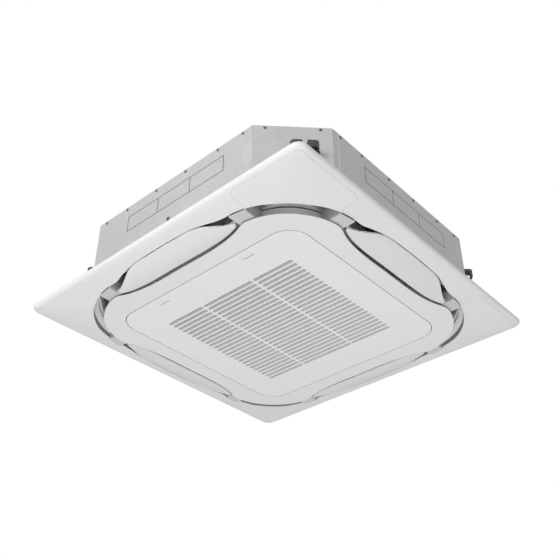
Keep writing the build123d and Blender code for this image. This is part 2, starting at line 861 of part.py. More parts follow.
bridge_middle = (bridge_start + bridge_end) / 2
bridge_width = bridge_end - bridge_start
bridge_inner = ring_side[-1][0] - ring_duct_inset
bridge_outer = outlet_side[-1][0]
bridge_places = [(90.0 * quarter, side) for quarter in range(4) for side in (1, -1)]


def bridge_boxes(width, bottom, top):
    """Eight blocks where the bridges stand, `width` along the panel's side."""
    with BuildPart() as body:
        for angle, side in bridge_places:
            with BuildSketch(Plane.XY.offset(bottom).rotated((0, 0, angle))):
                with Locations(((bridge_inner + bridge_outer) / 2, side * bridge_middle)):
                    Rectangle(bridge_outer - bridge_inner, width)
        extrude(amount=top - bottom)
    return body.part


def flap_axis_plane(angle, along):
    """A plane across a flap's hinge axis, `along` that axis from its middle."""
    place = Vector(flap_axis_out, along, flap_axis_height).rotate(Axis.Z, angle)
    return Plane(place, x_dir=(0, 0, 1), z_dir=Vector(0, 1, 0).rotate(Axis.Z, angle))


with BuildPart() as bridges:
    add(bridge_boxes(bridge_width, bridge_bottom, duct_top))
    add(
        bridge_boxes(bridge_width - 2 * bridge_wall, bridge_bottom + bridge_wall, casing_top),
        mode=Mode.SUBTRACT,
    )
    add(bridge_room.part, mode=Mode.INTERSECT)
    for angle, side in bridge_places:
        with BuildSketch(flap_axis_plane(angle, side * bridge_start - bridge_width / 2)):
            Circle(flap_pin_radius + running_gap)
        extrude(amount=bridge_width, mode=Mode.SUBTRACT)
save(bridges, "bridges")

# ---------------------------------------------------------------------------
# Air flaps, with a stepper motor at one end of each
# ---------------------------------------------------------------------------

with BuildPart() as flap:
    add(crown_solid(0.0, casing_bottom, flap_crown))
    add(crown_solid(flap_thickness, casing_bottom, flap_crown), mode=Mode.SUBTRACT)
    with BuildSketch(Plane.XY.offset(-sheet)):
        with BuildLine():
            outer_side = [(out, along) for out, along in flap_side]
            outer_side += [(out, -along) for out, along in reversed(flap_side[:-1])]
            inner_side = [(out, along) for out, along in flap_inner]
            inner_side += [(out, -along) for out, along in reversed(flap_inner[:-1])]
            Spline((flap_tip_outer, flap_tip), *outer_side, (flap_tip_outer, -flap_tip))
            Spline((flap_tip_inner, flap_tip), *inner_side, (flap_tip_inner, -flap_tip))
            Line((flap_tip_inner, flap_tip), (flap_tip_outer, flap_tip))
            Line((flap_tip_inner, -flap_tip), (flap_tip_outer, -flap_tip))
        make_face()
    extrude(amount=casing_top, mode=Mode.INTERSECT)
    for side in (1, -1):
        with BuildSketch(flap_axis_plane(0.0, side * flap_tip)):
            Circle(flap_barrel_radius)
            with Locations((-flap_web_height / 2, 0)):
                Rectangle(flap_web_height, flap_web_width)
        extrude(amount=-side * flap_barrel_length)
        with BuildSketch(flap_axis_plane(0.0, side * (flap_tip - flap_pin_root))):
            Circle(flap_pin_radius)
        extrude(amount=side * (flap_pin_reach + bridge_start - flap_tip + flap_pin_root))

with BuildPart() as flap_motor:
    boss_start = bridge_start + bridge_wall + motor_boss_gap
    with BuildSketch(flap_axis_plane(0.0, boss_start)):
        Circle(motor_boss_radius)
    extrude(amount=motor_boss_length)
    with BuildSketch(flap_axis_plane(0.0, boss_start + motor_boss_length)):
        with Locations((motor_offset, 0)):
            Circle(motor_radius)
    extrude(amount=motor_length)
    with BuildSketch(flap_axis_plane(0.0, boss_start + motor_boss_length)):
        with Locations((motor_offset, 0)):
            SlotCenterToCenter(2 * (motor_radius + motor_ear), motor_ear_width, rotation=90)
    extrude(amount=motor_ear_plate)
    with BuildSketch(flap_axis_plane(0.0, boss_start)):
        Circle(flap_pin_radius + running_gap)
    extrude(amount=flap_pin_reach, mode=Mode.SUBTRACT)

for quarter, side in zip((3, 0, 1, 2), SIDES):
    with BuildPart() as air_flap:
        add(turned(flap.part, quarter))
    save(air_flap, f"air_flap_{side}")
    with BuildPart() as stepper:
        add(turned(flap_motor.part, quarter))
    save(stepper, f"flap_motor_{side}")

# ---------------------------------------------------------------------------
# Suction grille, its latches and the air filter
# ---------------------------------------------------------------------------

slot_field = (slot_count - 1) * slot_pitch
with BuildPart() as suction_grille:
    with BuildSketch(Plane.XY):
        square(grille_half, grille_corner)
    extrude(amount=grille_plate)
    # Raised frame round the slats, and deeper slats above the plate
    slat_half_y = slot_field / 2 + slot_pitch
    with BuildSketch(Plane.XY.offset(grille_plate)):
        Rectangle(2 * (slot_half_length + slat_frame), 2 * slat_half_y)
    extrude(amount=grille_rib_height - grille_plate)
    with BuildSketch(Plane.XY.offset(-sheet)):
        with GridLocations(0, slot_pitch, 1, slot_count):
            for left, right in (
                (-slot_half_length, -rib_place - rib_width / 2),
                (-rib_place + rib_width / 2, rib_place - rib_width / 2),
                (rib_place + rib_width / 2, slot_half_length),
            ):
                with Locations(((left + right) / 2, 0)):
                    SlotOverall(right - left, slot_width)
    extrude(
        amount=(grille_rib_height + 2 * sheet) / cos(radians(slot_lean)),
        dir=(0, sin(radians(slot_lean)), cos(radians(slot_lean))), mode=Mode.SUBTRACT,
    )
    # Stiffening rim, left out along the back where the hinge is
    with BuildSketch(Plane.XY.offset(grille_plate)):
        square(grille_half - rim_inset, grille_corner - rim_inset)
        with BuildSketch(mode=Mode.PRIVATE) as rim_hollow:
            square(grille_half - rim_inset - rim_rib, grille_corner - rim_inset - rim_rib)
            with Locations((0, grille_half)):
                Rectangle(2 * grille_half, grille_half)
            with Locations(*[(side * latch_place, -grille_half) for side in (1, -1)]):
                Rectangle(latch_pad_length + 2 * rim_break, 2 * (rim_inset + rim_rib + rim_break))
        add(rim_hollow.sketch, mode=Mode.SUBTRACT)
    extrude(amount=grille_rib_height - grille_plate)
    # Hinge barrels with their pins
    for side in (1, -1):
        with BuildSketch(Plane.YZ.offset(side * hinge_barrel_start)):
            with Locations((hinge_axis_y, hinge_height)):
                Circle(hinge_barrel_radius)
        extrude(amount=side * (hinge_barrel_end - hinge_barrel_start))
        with BuildSketch(Plane.YZ.offset(side * (hinge_barrel_end - sheet))):
            with Locations((hinge_axis_y, hinge_height)):
                Circle(hinge_pin_radius)
        extrude(amount=side * (hinge_pin_end - hinge_barrel_end + sheet))
    # Windows for the latch pads
    with BuildSketch(Plane.XY.offset(-sheet)):
        with Locations(*[(side * latch_place, latch_y + latch_travel / 2) for side in (1, -1)]):
            Rectangle(
                latch_pad_length + 2 * latch_gap,
                latch_pad_width + latch_travel + 2 * latch_gap,
            )
    extrude(amount=grille_rib_height + 2 * sheet, mode=Mode.SUBTRACT)
save(suction_grille, "suction_grille")

tongue_end = grille_half - latch_tongue_end
with BuildPart() as latch:
    with BuildSketch(Plane.XY):
        with Locations((0, latch_y)):
            Rectangle(latch_pad_length, latch_pad_width)
    extrude(amount=grille_plate + latch_gap)
    # Slider plate that covers the window wherever the pad stands
    with BuildSketch(Plane.XY.offset(grille_plate + latch_gap)):
        with Locations((0, latch_y)):
            Rectangle(
                latch_pad_length + 2 * latch_slider_margin,
                latch_pad_width + 2 * latch_slider_cover,
            )
    extrude(amount=latch_slider)
    # Tongue that ends just short of the catch on the ring
    with BuildSketch(Plane.XY.offset(grille_plate + latch_gap)):
        with Locations((0, (latch_y - tongue_end) / 2)):
            Rectangle(latch_tongue_width, tongue_end + latch_y)
    extrude(amount=latch_height - grille_plate - latch_gap)
for name, place in (("left", -latch_place), ("right", latch_place)):
    with BuildPart() as grille_latch:
        with Locations((place, 0, 0)):
            add(latch.part)
    save(grille_latch, f"grille_latch_{name}")

with BuildPart() as air_filter:
    with BuildSketch(Plane.XY.offset(grille_rib_height)):
        square(filter_half, filter_corner)
        with BuildSketch(mode=Mode.PRIVATE) as filter_hole:
            square(filter_half - filter_border, filter_corner - filter_border)
        add(filter_hole.sketch, mode=Mode.SUBTRACT)
    extrude(amount=filter_depth)
    filter_cell = 2 * (filter_half - filter_border) / (filter_bars + 1)
    with BuildSketch(Plane.XY.offset(grille_rib_height)):
        with BuildSketch(mode=Mode.PRIVATE) as filter_net:
            square(filter_half - filter_bite, filter_corner - filter_bite)
            with GridLocations(filter_cell, filter_cell, filter_bars + 1, filter_bars + 1):
                Rectangle(
                    filter_cell - filter_bar_width, filter_cell - filter_bar_width,
                    mode=Mode.SUBTRACT,
                )
        add(filter_net.sketch)
    extrude(amount=filter_bar_depth)
save(air_filter, "air_filter")

# ---------------------------------------------------------------------------
# Drain pan
# ---------------------------------------------------------------------------

with BuildPart() as drain_pan:
    with BuildSketch(Plane.XY.offset(casing_bottom)):
        square(pan_outer, pan_corner)
    extrude(amount=pan_height)
    # Arms between the outlets reach the foam liner
    with BuildSketch(Plane.XY.offset(casing_bottom)):
        liner_face = casing_side / 2 - 2 * sheet - foam_wall
        with BuildSketch(mode=Mode.PRIVATE) as arms:
            for angle in range(0, 360, 90):
                with Locations(Rot(0, 0, angle)):
                    with Locations(*[(liner_face / 2, side * pan_arm_place) for side in (1, -1)]):
                        Rectangle(liner_face, pan_arm_width)
        add(arms.sketch)
    extrude(amount=pan_arm_height)
    with BuildSketch(Plane.XY.offset(casing_bottom)):
        square(pan_inner, pan_corner - pan_inner_tightening)
    extrude(amount=pan_height, mode=Mode.SUBTRACT)
    # Trough below the coil, and the sump below the pump
    with BuildSketch(Plane.XY.offset(casing_bottom + trough_floor)):
        square(coil_outer + trough_gap, coil_corner + trough_gap)
        with BuildSketch(mode=Mode.PRIVATE) as island:
            square(coil_inner - island_gap, coil_corner - island_tightening)
        add(island.sketch, mode=Mode.SUBTRACT)
    extrude(amount=pan_height, mode=Mode.SUBTRACT)
    with BuildSketch(Plane.XY.offset(casing_bottom + sump_floor)):
        with Locations(pump_place):
            Circle(sump_radius)
    extrude(amount=pan_height, mode=Mode.SUBTRACT)
    with BuildSketch(Plane.XY.offset(pump_bottom - pump_dip_clear)):
        with Locations(pump_place):
            Circle(pump_radius + sump_clear)
    extrude(amount=pan_height, mode=Mode.SUBTRACT)
save(drain_pan, "drain_pan")

# ---------------------------------------------------------------------------
# Heat exchanger: a fin block bent round three corners, open at the fourth
# ---------------------------------------------------------------------------

with BuildPart() as open_corner:
    with BuildSketch(Plane.XY.offset(casing_bottom)):
        with Locations((-coil_end - casing_side / 4, coil_end + casing_side / 4)):
            Rectangle(casing_side / 2, casing_side / 2)
    extrude(amount=casing_height)

with BuildPart() as coil_fins:
    with BuildSketch(Plane.XY.offset(coil_low)):
        square(coil_outer, coil_corner)
        with BuildSketch(mode=Mode.PRIVATE) as coil_hole:
            square(coil_inner, coil_corner - (coil_outer - coil_inner))
        add(coil_hole.sketch, mode=Mode.SUBTRACT)
    extrude(amount=coil_high - coil_low)
    add(open_corner.part, mode=Mode.SUBTRACT)
save(coil_fins, "coil_fins")

coil_middle = (coil_outer + coil_inner) / 2
coil_depth = coil_outer - coil_inner
end_faces = [
    Plane((-coil_end, coil_middle, (coil_low + coil_high) / 2), x_dir=(0, 1, 0), z_dir=(-1, 0, 0)),
    Plane((-coil_middle, coil_end, (coil_low + coil_high) / 2), x_dir=(-1, 0, 0), z_dir=(0, 1, 0)),
]
tube_pitch = (coil_high - coil_low) / tube_rows
with BuildPart() as coil_end_plates:
    for face in end_faces:
        with BuildSketch(face):
            Rectangle(coil_depth, coil_high - coil_low)
        extrude(amount=end_plate)
save(coil_end_plates, "coil_end_plates")

with BuildPart() as return_bends:
    for face in end_faces:
        for row in (-1, 1):
            for step in range(tube_rows // 2):
                height = (2 * step + 1 - tube_rows / 2) * tube_pitch
                centre = face.offset(end_plate).location * Pos(row * coil_depth / 4, height, 0)
                arc_plane = Plane(centre)
                across = Plane(
                    arc_plane.origin + arc_plane.y_dir * tube_pitch / 2,
                    x_dir=arc_plane.x_dir, z_dir=arc_plane.z_dir,
                )
                with BuildSketch(across):
                    Circle(tube_radius)
                revolve(axis=Axis(arc_plane.origin, arc_plane.x_dir), revolution_arc=180)
save(return_bends, "return_bends")

# ---------------------------------------------------------------------------
# Bell mouth
# ---------------------------------------------------------------------------

with BuildPart() as bell_mouth:
    with BuildSketch(Plane.XY.offset(mouth_bottom)):
        square(mouth_half, ring_open_corner)
        Circle(mouth_radius - sheet, mode=Mode.SUBTRACT)
        with Locations((0, (box_front + box_back) / 2)):
            Rectangle(
                2 * (box_half_x - mouth_box_gap), box_back - box_front - 2 * mouth_box_gap,
                mode=Mode.SUBTRACT,
            )
    extrude(amount=mouth_plate)
    with BuildSketch(Plane.XZ):
        with BuildLine():
            flare = mouth_radius - throat_radius
            inner = Spline(
                (mouth_radius, mouth_bottom),
                (throat_radius + flare * throat_bend, mouth_bottom + throat_bend_height),
                (throat_radius, throat_top),
                tangents=((-1, mouth_slope), (0, 1)),
            )
            outer = Spline(
                (mouth_radius + mouth_plate, mouth_bottom + mouth_plate),
                (
                    throat_radius + flare * throat_bend + mouth_plate,
                    mouth_bottom + throat_bend_height + mouth_plate,
                ),
                (throat_radius + mouth_plate, throat_top),
                tangents=((-1, mouth_slope), (0, 1)),
            )
            Line(inner @ 0, outer @ 0)
            Line(inner @ 1, outer @ 1)
        make_face()
    revolve(axis=Axis.Z)
save(bell_mouth, "bell_mouth")

# ---------------------------------------------------------------------------
# Turbo fan, shaft and nut
# ---------------------------------------------------------------------------

hub_low = fan_plate_top - hub_depth
blade_outer = fan_radius - blade_tail_gap
with BuildPart() as turbo_fan:
    with BuildSketch(Plane.XZ):
        with BuildLine():
            Polyline(
                (shaft_radius + running_gap, hub_low - hub_boss_drop),
                (hub_boss_radius, hub_low - hub_boss_drop),
                (hub_boss_radius, hub_low - fan_plate), (hub_radius - hub_flank, hub_low - fan_plate),
                (hub_radius + hub_flank, fan_plate_top - fan_plate),
                (fan_radius, fan_plate_top - fan_plate), (fan_radius, fan_plate_top),
                (hub_radius + hub_flank - fan_plate, fan_plate_top),
                (hub_radius - hub_flank - fan_plate, hub_low), (hub_boss_radius, hub_low),
                (hub_boss_radius, hub_low + hub_boss_rise),
                (shaft_radius + running_gap, hub_low + hub_boss_rise),
                close=True,
            )
        make_face()
    revolve(axis=Axis.Z)
    # Shroud round the eye
    with BuildSketch(Plane.XZ):
        with BuildLine():
            shroud_low = Spline(
                (fan_eye, fan_bottom), (fan_eye + shroud_run, fan_bottom + shroud_rise),
                (fan_radius, fan_rim_bottom), tangents=((0, 1), (1, shroud_slope)),
            )
            shroud_high = Spline(
                (fan_eye - shroud_wall, fan_bottom),
                (fan_eye + shroud_run - shroud_wall / 2, fan_bottom + shroud_rise + shroud_wall),
                (fan_radius, fan_rim_bottom + shroud_wall), tangents=((0, 1), (1, shroud_slope)),
            )
            Line(shroud_low @ 0, shroud_high @ 0)
            Line(shroud_low @ 1, shroud_high @ 1)
        make_face()
    revolve(axis=Axis.Z)
    # Backward-curved blades between shroud and plate
    with BuildPart(mode=Mode.PRIVATE) as blades:
        with BuildSketch(Plane.XY.offset(fan_bottom)):
            for turn in range(blade_count):
                a0 = radians(360.0 / blade_count * turn)
                a1 = a0 - radians(blade_sweep)
                am = a0 - radians(blade_sweep * blade_camber)
                rm = (blade_inner + blade_outer) / 2
                with BuildLine() as blade_line:
                    ThreePointArc(
                        (blade_inner * cos(a0), blade_inner * sin(a0)),
                        (rm * cos(am), rm * sin(am)),
                        (blade_outer * cos(a1), blade_outer * sin(a1)),
                    )
                    offset(amount=blade_thickness / 2, side=Side.BOTH)
                make_face(blade_line.edges())
        extrude(amount=fan_plate_top - fan_plate / 2 - fan_bottom)
        with BuildSketch(Plane.XZ):
            with BuildLine():
                Polyline(
                    (blade_inner - hub_flank, fan_bottom + blade_root_height),
                    (fan_eye - blade_bite, fan_bottom + shroud_wall),
                    (fan_eye + shroud_run, fan_bottom + shroud_rise + shroud_wall / 2),
                    (fan_radius + blade_bite, fan_rim_bottom + shroud_wall / 2),
                    (fan_radius + blade_bite, fan_plate_top - blade_bite),
                    (blade_inner - hub_flank, fan_plate_top - blade_bite),
                    close=True,
                )
            make_face()
        revolve(axis=Axis.Z, mode=Mode.INTERSECT)
    add(blades.part)
save(turbo_fan, "turbo_fan")

motor_top = foam_ceiling + foam_top - motor_bracket_plate - mount_height
motor_bottom = motor_top - fan_motor_height
with BuildPart() as fan_shaft:
    with BuildSketch(Plane.XY.offset(shaft_bottom)):
        Circle(shaft_radius)
    extrude(amount=motor_bottom + shaft_seat - shaft_bottom)
save(fan_shaft, "fan_shaft")

with BuildPart() as fan_nut:
    with BuildSketch(Plane.XY.offset(hub_low - hub_boss_drop - fan_nut_height)):
        RegularPolygon(fan_nut_radius, 6)
        Circle(shaft_radius + running_gap, mode=Mode.SUBTRACT)
    extrude(amount=fan_nut_height)
save(fan_nut, "fan_nut")

with BuildPart() as fan_motor:
    with BuildSketch(Plane.XZ):
        with BuildLine():
            Polyline(
                (shaft_radius + running_gap, motor_bottom), (motor_neck_radius, motor_bottom),
                (motor_neck_radius + shaft_end_gap, motor_bottom + motor_neck_height),
                (fan_motor_radius - motor_shoulder, motor_bottom + motor_neck_height),
                (fan_motor_radius, motor_bottom + motor_skirt),
                (fan_motor_radius, motor_top - motor_round),
                (fan_motor_radius - motor_round, motor_top), (0, motor_top),
                (0, motor_bottom + shaft_seat + shaft_end_gap),
                (shaft_radius + running_gap, motor_bottom + shaft_seat + shaft_end_gap),
                close=True,
            )
        make_face()
    revolve(axis=Axis.Z)
save(fan_motor, "fan_motor")

with BuildPart() as motor_bracket:
    with BuildSketch(Plane.XY.offset(motor_top)):
        Circle(fan_motor_radius + motor_bracket_rim)
        with PolarLocations(0, 4, start_angle=45):
            with Locations((motor_bracket_reach / 2, 0)):
                SlotOverall(motor_bracket_reach, motor_bracket_arm)
    extrude(amount=motor_bracket_plate)
save(motor_bracket, "motor_bracket")

with BuildPart() as motor_mounts:
    with BuildSketch(Plane.XY.offset(motor_top + motor_bracket_plate)):
        with PolarLocations(motor_bracket_reach - mount_inset, 4, start_angle=45):
            Circle(mount_radius)
    extrude(amount=casing_top - sheet - motor_top - motor_bracket_plate)
save(motor_mounts, "motor_mounts")

# ---------------------------------------------------------------------------
# Drain pump, float switch, drain socket
# ---------------------------------------------------------------------------

pump_x, pump_y = pump_place
pump_top = pump_bottom + pump_height
pump_plane = Plane((pump_x, pump_y, 0))
pump_side = Plane((pump_x, pump_y, 0), x_dir=(1, 0, 0), z_dir=(0, -1, 0))
with BuildPart() as pump_body:
    with BuildSketch(pump_side):
        with BuildLine():
            inlet_end = casing_bottom + sump_floor + pump_inlet_gap
            Polyline(
                (pump_tube_radius - pump_inlet_wall, inlet_end), (pump_tube_radius, inlet_end),
                (pump_tube_radius, pump_bottom - pump_cone), (pump_radius, pump_bottom),
                (pump_radius, pump_top), (pump_shaft_radius + running_gap, pump_top),
                (pump_shaft_radius + running_gap, pump_top - pump_wall),
                (pump_radius - pump_wall, pump_top - pump_wall),
                (pump_radius - pump_wall, pump_bottom + pump_wall / 2),
                (pump_tube_radius - pump_inlet_wall, pump_bottom - pump_cone + pump_inlet_wall),
                close=True,
            )
        make_face()
    revolve(axis=Axis((pump_x, pump_y, 0), (0, 0, 1)))
    # Delivery spout towards the drain socket
    spout = Plane(
        (pump_x + spout_shift[0], pump_y + spout_shift[1], pump_top - spout_drop), z_dir=(0, 1, 0),
    )
    with BuildSketch(spout):
        Circle(spout_radius)
    extrude(amount=spout_length)
    with BuildSketch(spout.offset(-spout_root)):
        Circle(spout_bore)
    extrude(amount=spout_length + spout_root, mode=Mode.SUBTRACT)
save(pump_body, "pump_body")

with BuildPart() as pump_impeller:
    with BuildSketch(pump_plane.offset(pump_bottom + impeller_disc_rise)):
        Circle(impeller_radius)
    extrude(amount=impeller_disc)
    with BuildSketch(pump_plane.offset(pump_bottom + impeller_low)):
        with PolarLocations(0, 4):
            with Locations((impeller_radius / 2, 0)):
                Rectangle(impeller_radius - impeller_rim, impeller_blade)
    extrude(amount=impeller_blade_height)
    with BuildSketch(pump_plane.offset(pump_bottom + impeller_low)):
        Circle(pump_shaft_radius)
    extrude(amount=pump_height + pump_shaft_rise)
save(pump_impeller, "pump_impeller")

with BuildPart() as pump_motor:
    with BuildSketch(pump_plane.offset(pump_top)):
        Circle(pump_motor_radius)
    extrude(amount=pump_motor_height)
    with BuildSketch(pump_plane.offset(pump_top)):
        Circle(pump_shaft_radius + running_gap)
    extrude(amount=pump_shaft_seat, mode=Mode.SUBTRACT)
save(pump_motor, "pump_motor")

with BuildPart() as pump_bracket:
    with BuildSketch(pump_plane.offset(pump_top + pump_motor_height)):
        Circle(pump_radius)
        with Locations(((float_place[0] - pump_x) / 2, (float_place[1] - pump_y) / 2)):
            SlotCenterToCenter(
                sqrt((float_place[0] - pump_x) ** 2 + (float_place[1] - pump_y) ** 2), pump_bracket_arm,
                rotation=degrees(atan2(float_place[1] - pump_y, float_place[0] - pump_x)),
            )
    extrude(amount=pump_bracket_plate)
    with BuildSketch(pump_plane.offset(pump_top + pump_motor_height + pump_bracket_plate)):
        Rectangle(pump_bracket_post, pump_bracket_post)
    extrude(amount=foam_ceiling - pump_top - pump_motor_height - pump_bracket_plate)
save(pump_bracket, "pump_bracket")

float_plane = Plane((float_place[0], float_place[1], 0))
with BuildPart() as float_switch:
    with BuildSketch(float_plane.offset(float_rest - float_seat)):
        Circle(float_stem_radius)
    extrude(amount=pump_top + pump_motor_height - float_rest + float_seat)
    with BuildSketch(float_plane.offset(float_rest - float_seat)):
        Circle(float_stem_radius + float_seat_rim)
    extrude(amount=float_seat_height)
    with BuildSketch(float_plane.offset(float_rest + float_height + float_travel + float_stop_gap)):
        Circle(float_stem_radius + float_stop_rim)
    extrude(amount=float_stop_height)
save(float_switch, "float_switch")

with BuildPart() as float_ball:
    with BuildSketch(float_plane.offset(float_rest)):
        Circle(float_radius)
        Circle(float_stem_radius + float_fit, mode=Mode.SUBTRACT)
    extrude(amount=float_height)
save(float_ball, "float_ball")

drain_root_y = casing_side / 2 - foam_wall - drain_root
drain_face = Plane((drain_along, drain_root_y, drain_height), z_dir=(0, 1, 0))
spout_end = Vector(
    pump_x + spout_shift[0], pump_y + spout_shift[1] + spout_length, pump_top - spout_drop,
)
with BuildPart() as drain_hose:
    with BuildLine():
        hose_path = FilletPolyline(
            spout_end, spout_end + (0, hose_knee, 0),
            (drain_along, spout_end.Y + hose_knee, drain_height), drain_face.origin,
            radius=hose_bend,
        )
    with BuildSketch(Plane(hose_path @ 0, z_dir=hose_path % 0)):
        Circle(hose_radius)
        Circle(hose_radius - hose_wall, mode=Mode.SUBTRACT)
    sweep(path=hose_path)
save(drain_hose, "drain_hose")

with BuildPart() as drain_socket:
    with BuildSketch(drain_face):
        Circle(drain_outer_radius)
    extrude(amount=foam_wall + drain_root + drain_reach)
    with BuildSketch(drain_face.offset(foam_wall + drain_root)):
        Circle(drain_outer_radius + drain_flange)
    extrude(amount=drain_flange_plate)
    with BuildSketch(drain_face):
        Circle(drain_bore_radius)
    extrude(amount=foam_wall + drain_root + drain_reach, mode=Mode.SUBTRACT)
save(drain_socket, "drain_socket")

# ---------------------------------------------------------------------------
# Refrigerant pipes through the back left corner
# ---------------------------------------------------------------------------

def pipe(along, radius, collar, landing):
    """A tube from the coil's end plate, round one bend, out through the corner.

    It ends in a collar for the nut; `landing` is the Y where it meets the plate.
    """
    face = corner_face.location * Pos(along, 0, 0)
    start = (face * Pos(0, 0, pipe_reach)).position
    run = (face.position.Y - landing) * sqrt(2)
    knee = (face * Pos(0, 0, -run)).position
    end = Vector(-coil_end - end_plate, landing, pipe_height)
    with BuildPart() as body:
        with BuildLine():
            path = FilletPolyline(start, knee, end, radius=pipe_bend)
        with BuildSketch(Plane(path @ 0, z_dir=path % 0)):
            Circle(radius)
            Circle(radius - pipe_wall, mode=Mode.SUBTRACT)
        sweep(path=path)
        with BuildSketch(corner_face.offset(pipe_reach - collar_length)):
            with Locations((along, 0)):
                Circle(collar)
                Circle(radius - pipe_wall, mode=Mode.SUBTRACT)
        extrude(amount=collar_length)
    return body


def flare_nut(along, radius, flat):
    """A hexagon nut that takes the field pipe in its outer end."""
    with BuildPart() as body:
        with BuildSketch(corner_face.offset(pipe_reach)):
            with Locations((along, 0)):
                RegularPolygon(flat / 2, 6, major_radius=False)
                Circle(radius + pipe_fit, mode=Mode.SUBTRACT)
        extrude(amount=nut_length)
    return body


save(
    pipe(
        gas_pipe_along, gas_pipe_radius, gas_nut_flat / 2 - nut_chamfer,
        coil_middle - gas_pipe_shift,
    ),
    "gas_pipe",
)
save(
    pipe(
        liquid_pipe_along, liquid_pipe_radius, liquid_nut_flat / 2 - nut_chamfer,
        coil_outer - liquid_pipe_shift,
    ),
    "liquid_pipe",
)
save(flare_nut(gas_pipe_along, gas_pipe_radius, gas_nut_flat), "gas_flare_nut")
save(flare_nut(liquid_pipe_along, liquid_pipe_radius, liquid_nut_flat), "liquid_flare_nut")

cover_middle = (gas_pipe_along + liquid_pipe_along) / 2
with BuildPart() as pipe_plate:
    with BuildSketch(corner_face):
        with Locations((cover_middle, 0)):
            RectangleRounded(*pipe_plate_size, pipe_plate_corner)
        with Locations((gas_pipe_along, 0)):
            Circle(gas_pipe_radius + plate_pipe_gap, mode=Mode.SUBTRACT)
        with Locations((liquid_pipe_along, 0)):
            Circle(liquid_pipe_radius + plate_pipe_gap, mode=Mode.SUBTRACT)
    extrude(amount=pipe_plate_thickness)
save(pipe_plate, "pipe_plate")

# ---------------------------------------------------------------------------
# Control box on the bell mouth
# ---------------------------------------------------------------------------

box_middle = (box_front + box_back) / 2
box_depth = box_back - box_front
with BuildPart() as control_box:
    with BuildSketch(Plane.XY.offset(casing_bottom)):
        with Locations((0, box_middle)):
            Rectangle(2 * box_half_x, box_depth)
    extrude(amount=box_height)
    with BuildSketch(Plane.XY.offset(casing_bottom)):
        with Locations((0, box_middle)):
            Rectangle(2 * (box_half_x - box_wall), box_depth - 2 * box_wall)
    extrude(amount=box_height - box_wall, mode=Mode.SUBTRACT)
save(control_box, "control_box")

with BuildPart() as control_lid:
    with BuildSketch(Plane.XY.offset(mouth_bottom - box_wall)):
        with Locations((0, box_middle)):
            RectangleRounded(2 * (box_half_x + lid_margin), box_depth + 2 * lid_margin, lid_corner)
    extrude(amount=box_wall)
save(control_lid, "control_lid")

box_roof = casing_bottom + box_height
with BuildPart() as circuit_board:
    with BuildSketch(Plane.XY.offset(box_roof - board_depth)):
        with Locations((board_middle, box_middle)):
            Rectangle(*board_size)
    extrude(amount=board_thickness)
    # Capacitors and a heat sink hang below the board
    with BuildSketch(Plane.XY.offset(box_roof - board_depth - capacitor_height)):
        with Locations(*[(x, box_middle + y) for x, y in capacitor_places]):
            Circle(capacitor_radius)
        with Locations((heat_sink_place, box_middle)):
            Rectangle(*heat_sink_size)
    extrude(amount=capacitor_height)
    post_start = board_depth - board_thickness
    with BuildSketch(Plane.XY.offset(box_roof - post_start)):
        with Locations((board_middle, box_middle)):
            with GridLocations(2 * board_posts[0], 2 * board_posts[1], 2, 2):
                Circle(board_post_radius)
    extrude(amount=post_start - box_wall)
save(circuit_board, "circuit_board")

with BuildPart() as terminal_block:
    with BuildSketch(Plane.XY.offset(box_roof - box_wall - terminal_height)):
        with Locations((terminal_place, box_middle)):
            Rectangle(*terminal_size)
    extrude(amount=terminal_height)
    with BuildSketch(Plane.XY.offset(box_roof - box_wall - terminal_height)):
        with Locations((terminal_place, box_middle)):
            with GridLocations(0, terminal_pitch, 1, terminal_count):
                Rectangle(*terminal_slot)
    extrude(amount=terminal_slot_depth, mode=Mode.SUBTRACT)
save(terminal_block, "terminal_block")

with BuildPart() as cable_gland:
    with BuildSketch(gland_face.offset(-foam_wall - gland_root)):
        Circle(gland_radius)
        Circle(gland_bore, mode=Mode.SUBTRACT)
    extrude(amount=foam_wall + gland_root + gland_reach)
    with BuildSketch(gland_face):
        RegularPolygon(gland_radius + gland_hex, 6, major_radius=False)
        Circle(gland_bore, mode=Mode.SUBTRACT)
    extrude(amount=gland_hex_height)
save(cable_gland, "cable_gland")

# ---------------------------------------------------------------------------
# Screws round the casing's upper edge and at the foot of each face
# ---------------------------------------------------------------------------

with BuildPart() as casing_screws:
    for quarter in range(4):
        side_face = Plane(
            Vector(0, -casing_side / 2, casing_top - screw_drop).rotate(Axis.Z, 90 * quarter),
            x_dir=Vector(1, 0, 0).rotate(Axis.Z, 90 * quarter),
            z_dir=Vector(0, -1, 0).rotate(Axis.Z, 90 * quarter),
        )
        with BuildSketch(side_face):
            with Locations(*[(side * place, 0) for place in screw_places for side in (1, -1)]):
                Circle(screw_head_radius)
        extrude(amount=screw_head_height)
        cut_face = Plane(
            Vector(corner_reach, 0, casing_top - screw_drop).rotate(Axis.Z, 45 + 90 * quarter),
            x_dir=Vector(0, 1, 0).rotate(Axis.Z, 45 + 90 * quarter),
            z_dir=Vector(1, 0, 0).rotate(Axis.Z, 45 + 90 * quarter),
        )
        with BuildSketch(cut_face):
            with Locations((corner_screw_place, 0), (-corner_screw_place, 0)):
                Circle(screw_head_radius)
        extrude(amount=screw_head_height)
save(casing_screws, "casing_screws")
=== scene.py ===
# %% [markdown]
# # Ceiling cassette air conditioner: the visual model
# The unit hangs in a ceiling. A galvanised casing stays above the ceiling, and
# a white square panel with a grille shows below it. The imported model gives
# every rigid shape. This file adds finishes and the small parts.

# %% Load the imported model
import bpy
import bmesh
import json
import math
from mathutils import Matrix, Vector

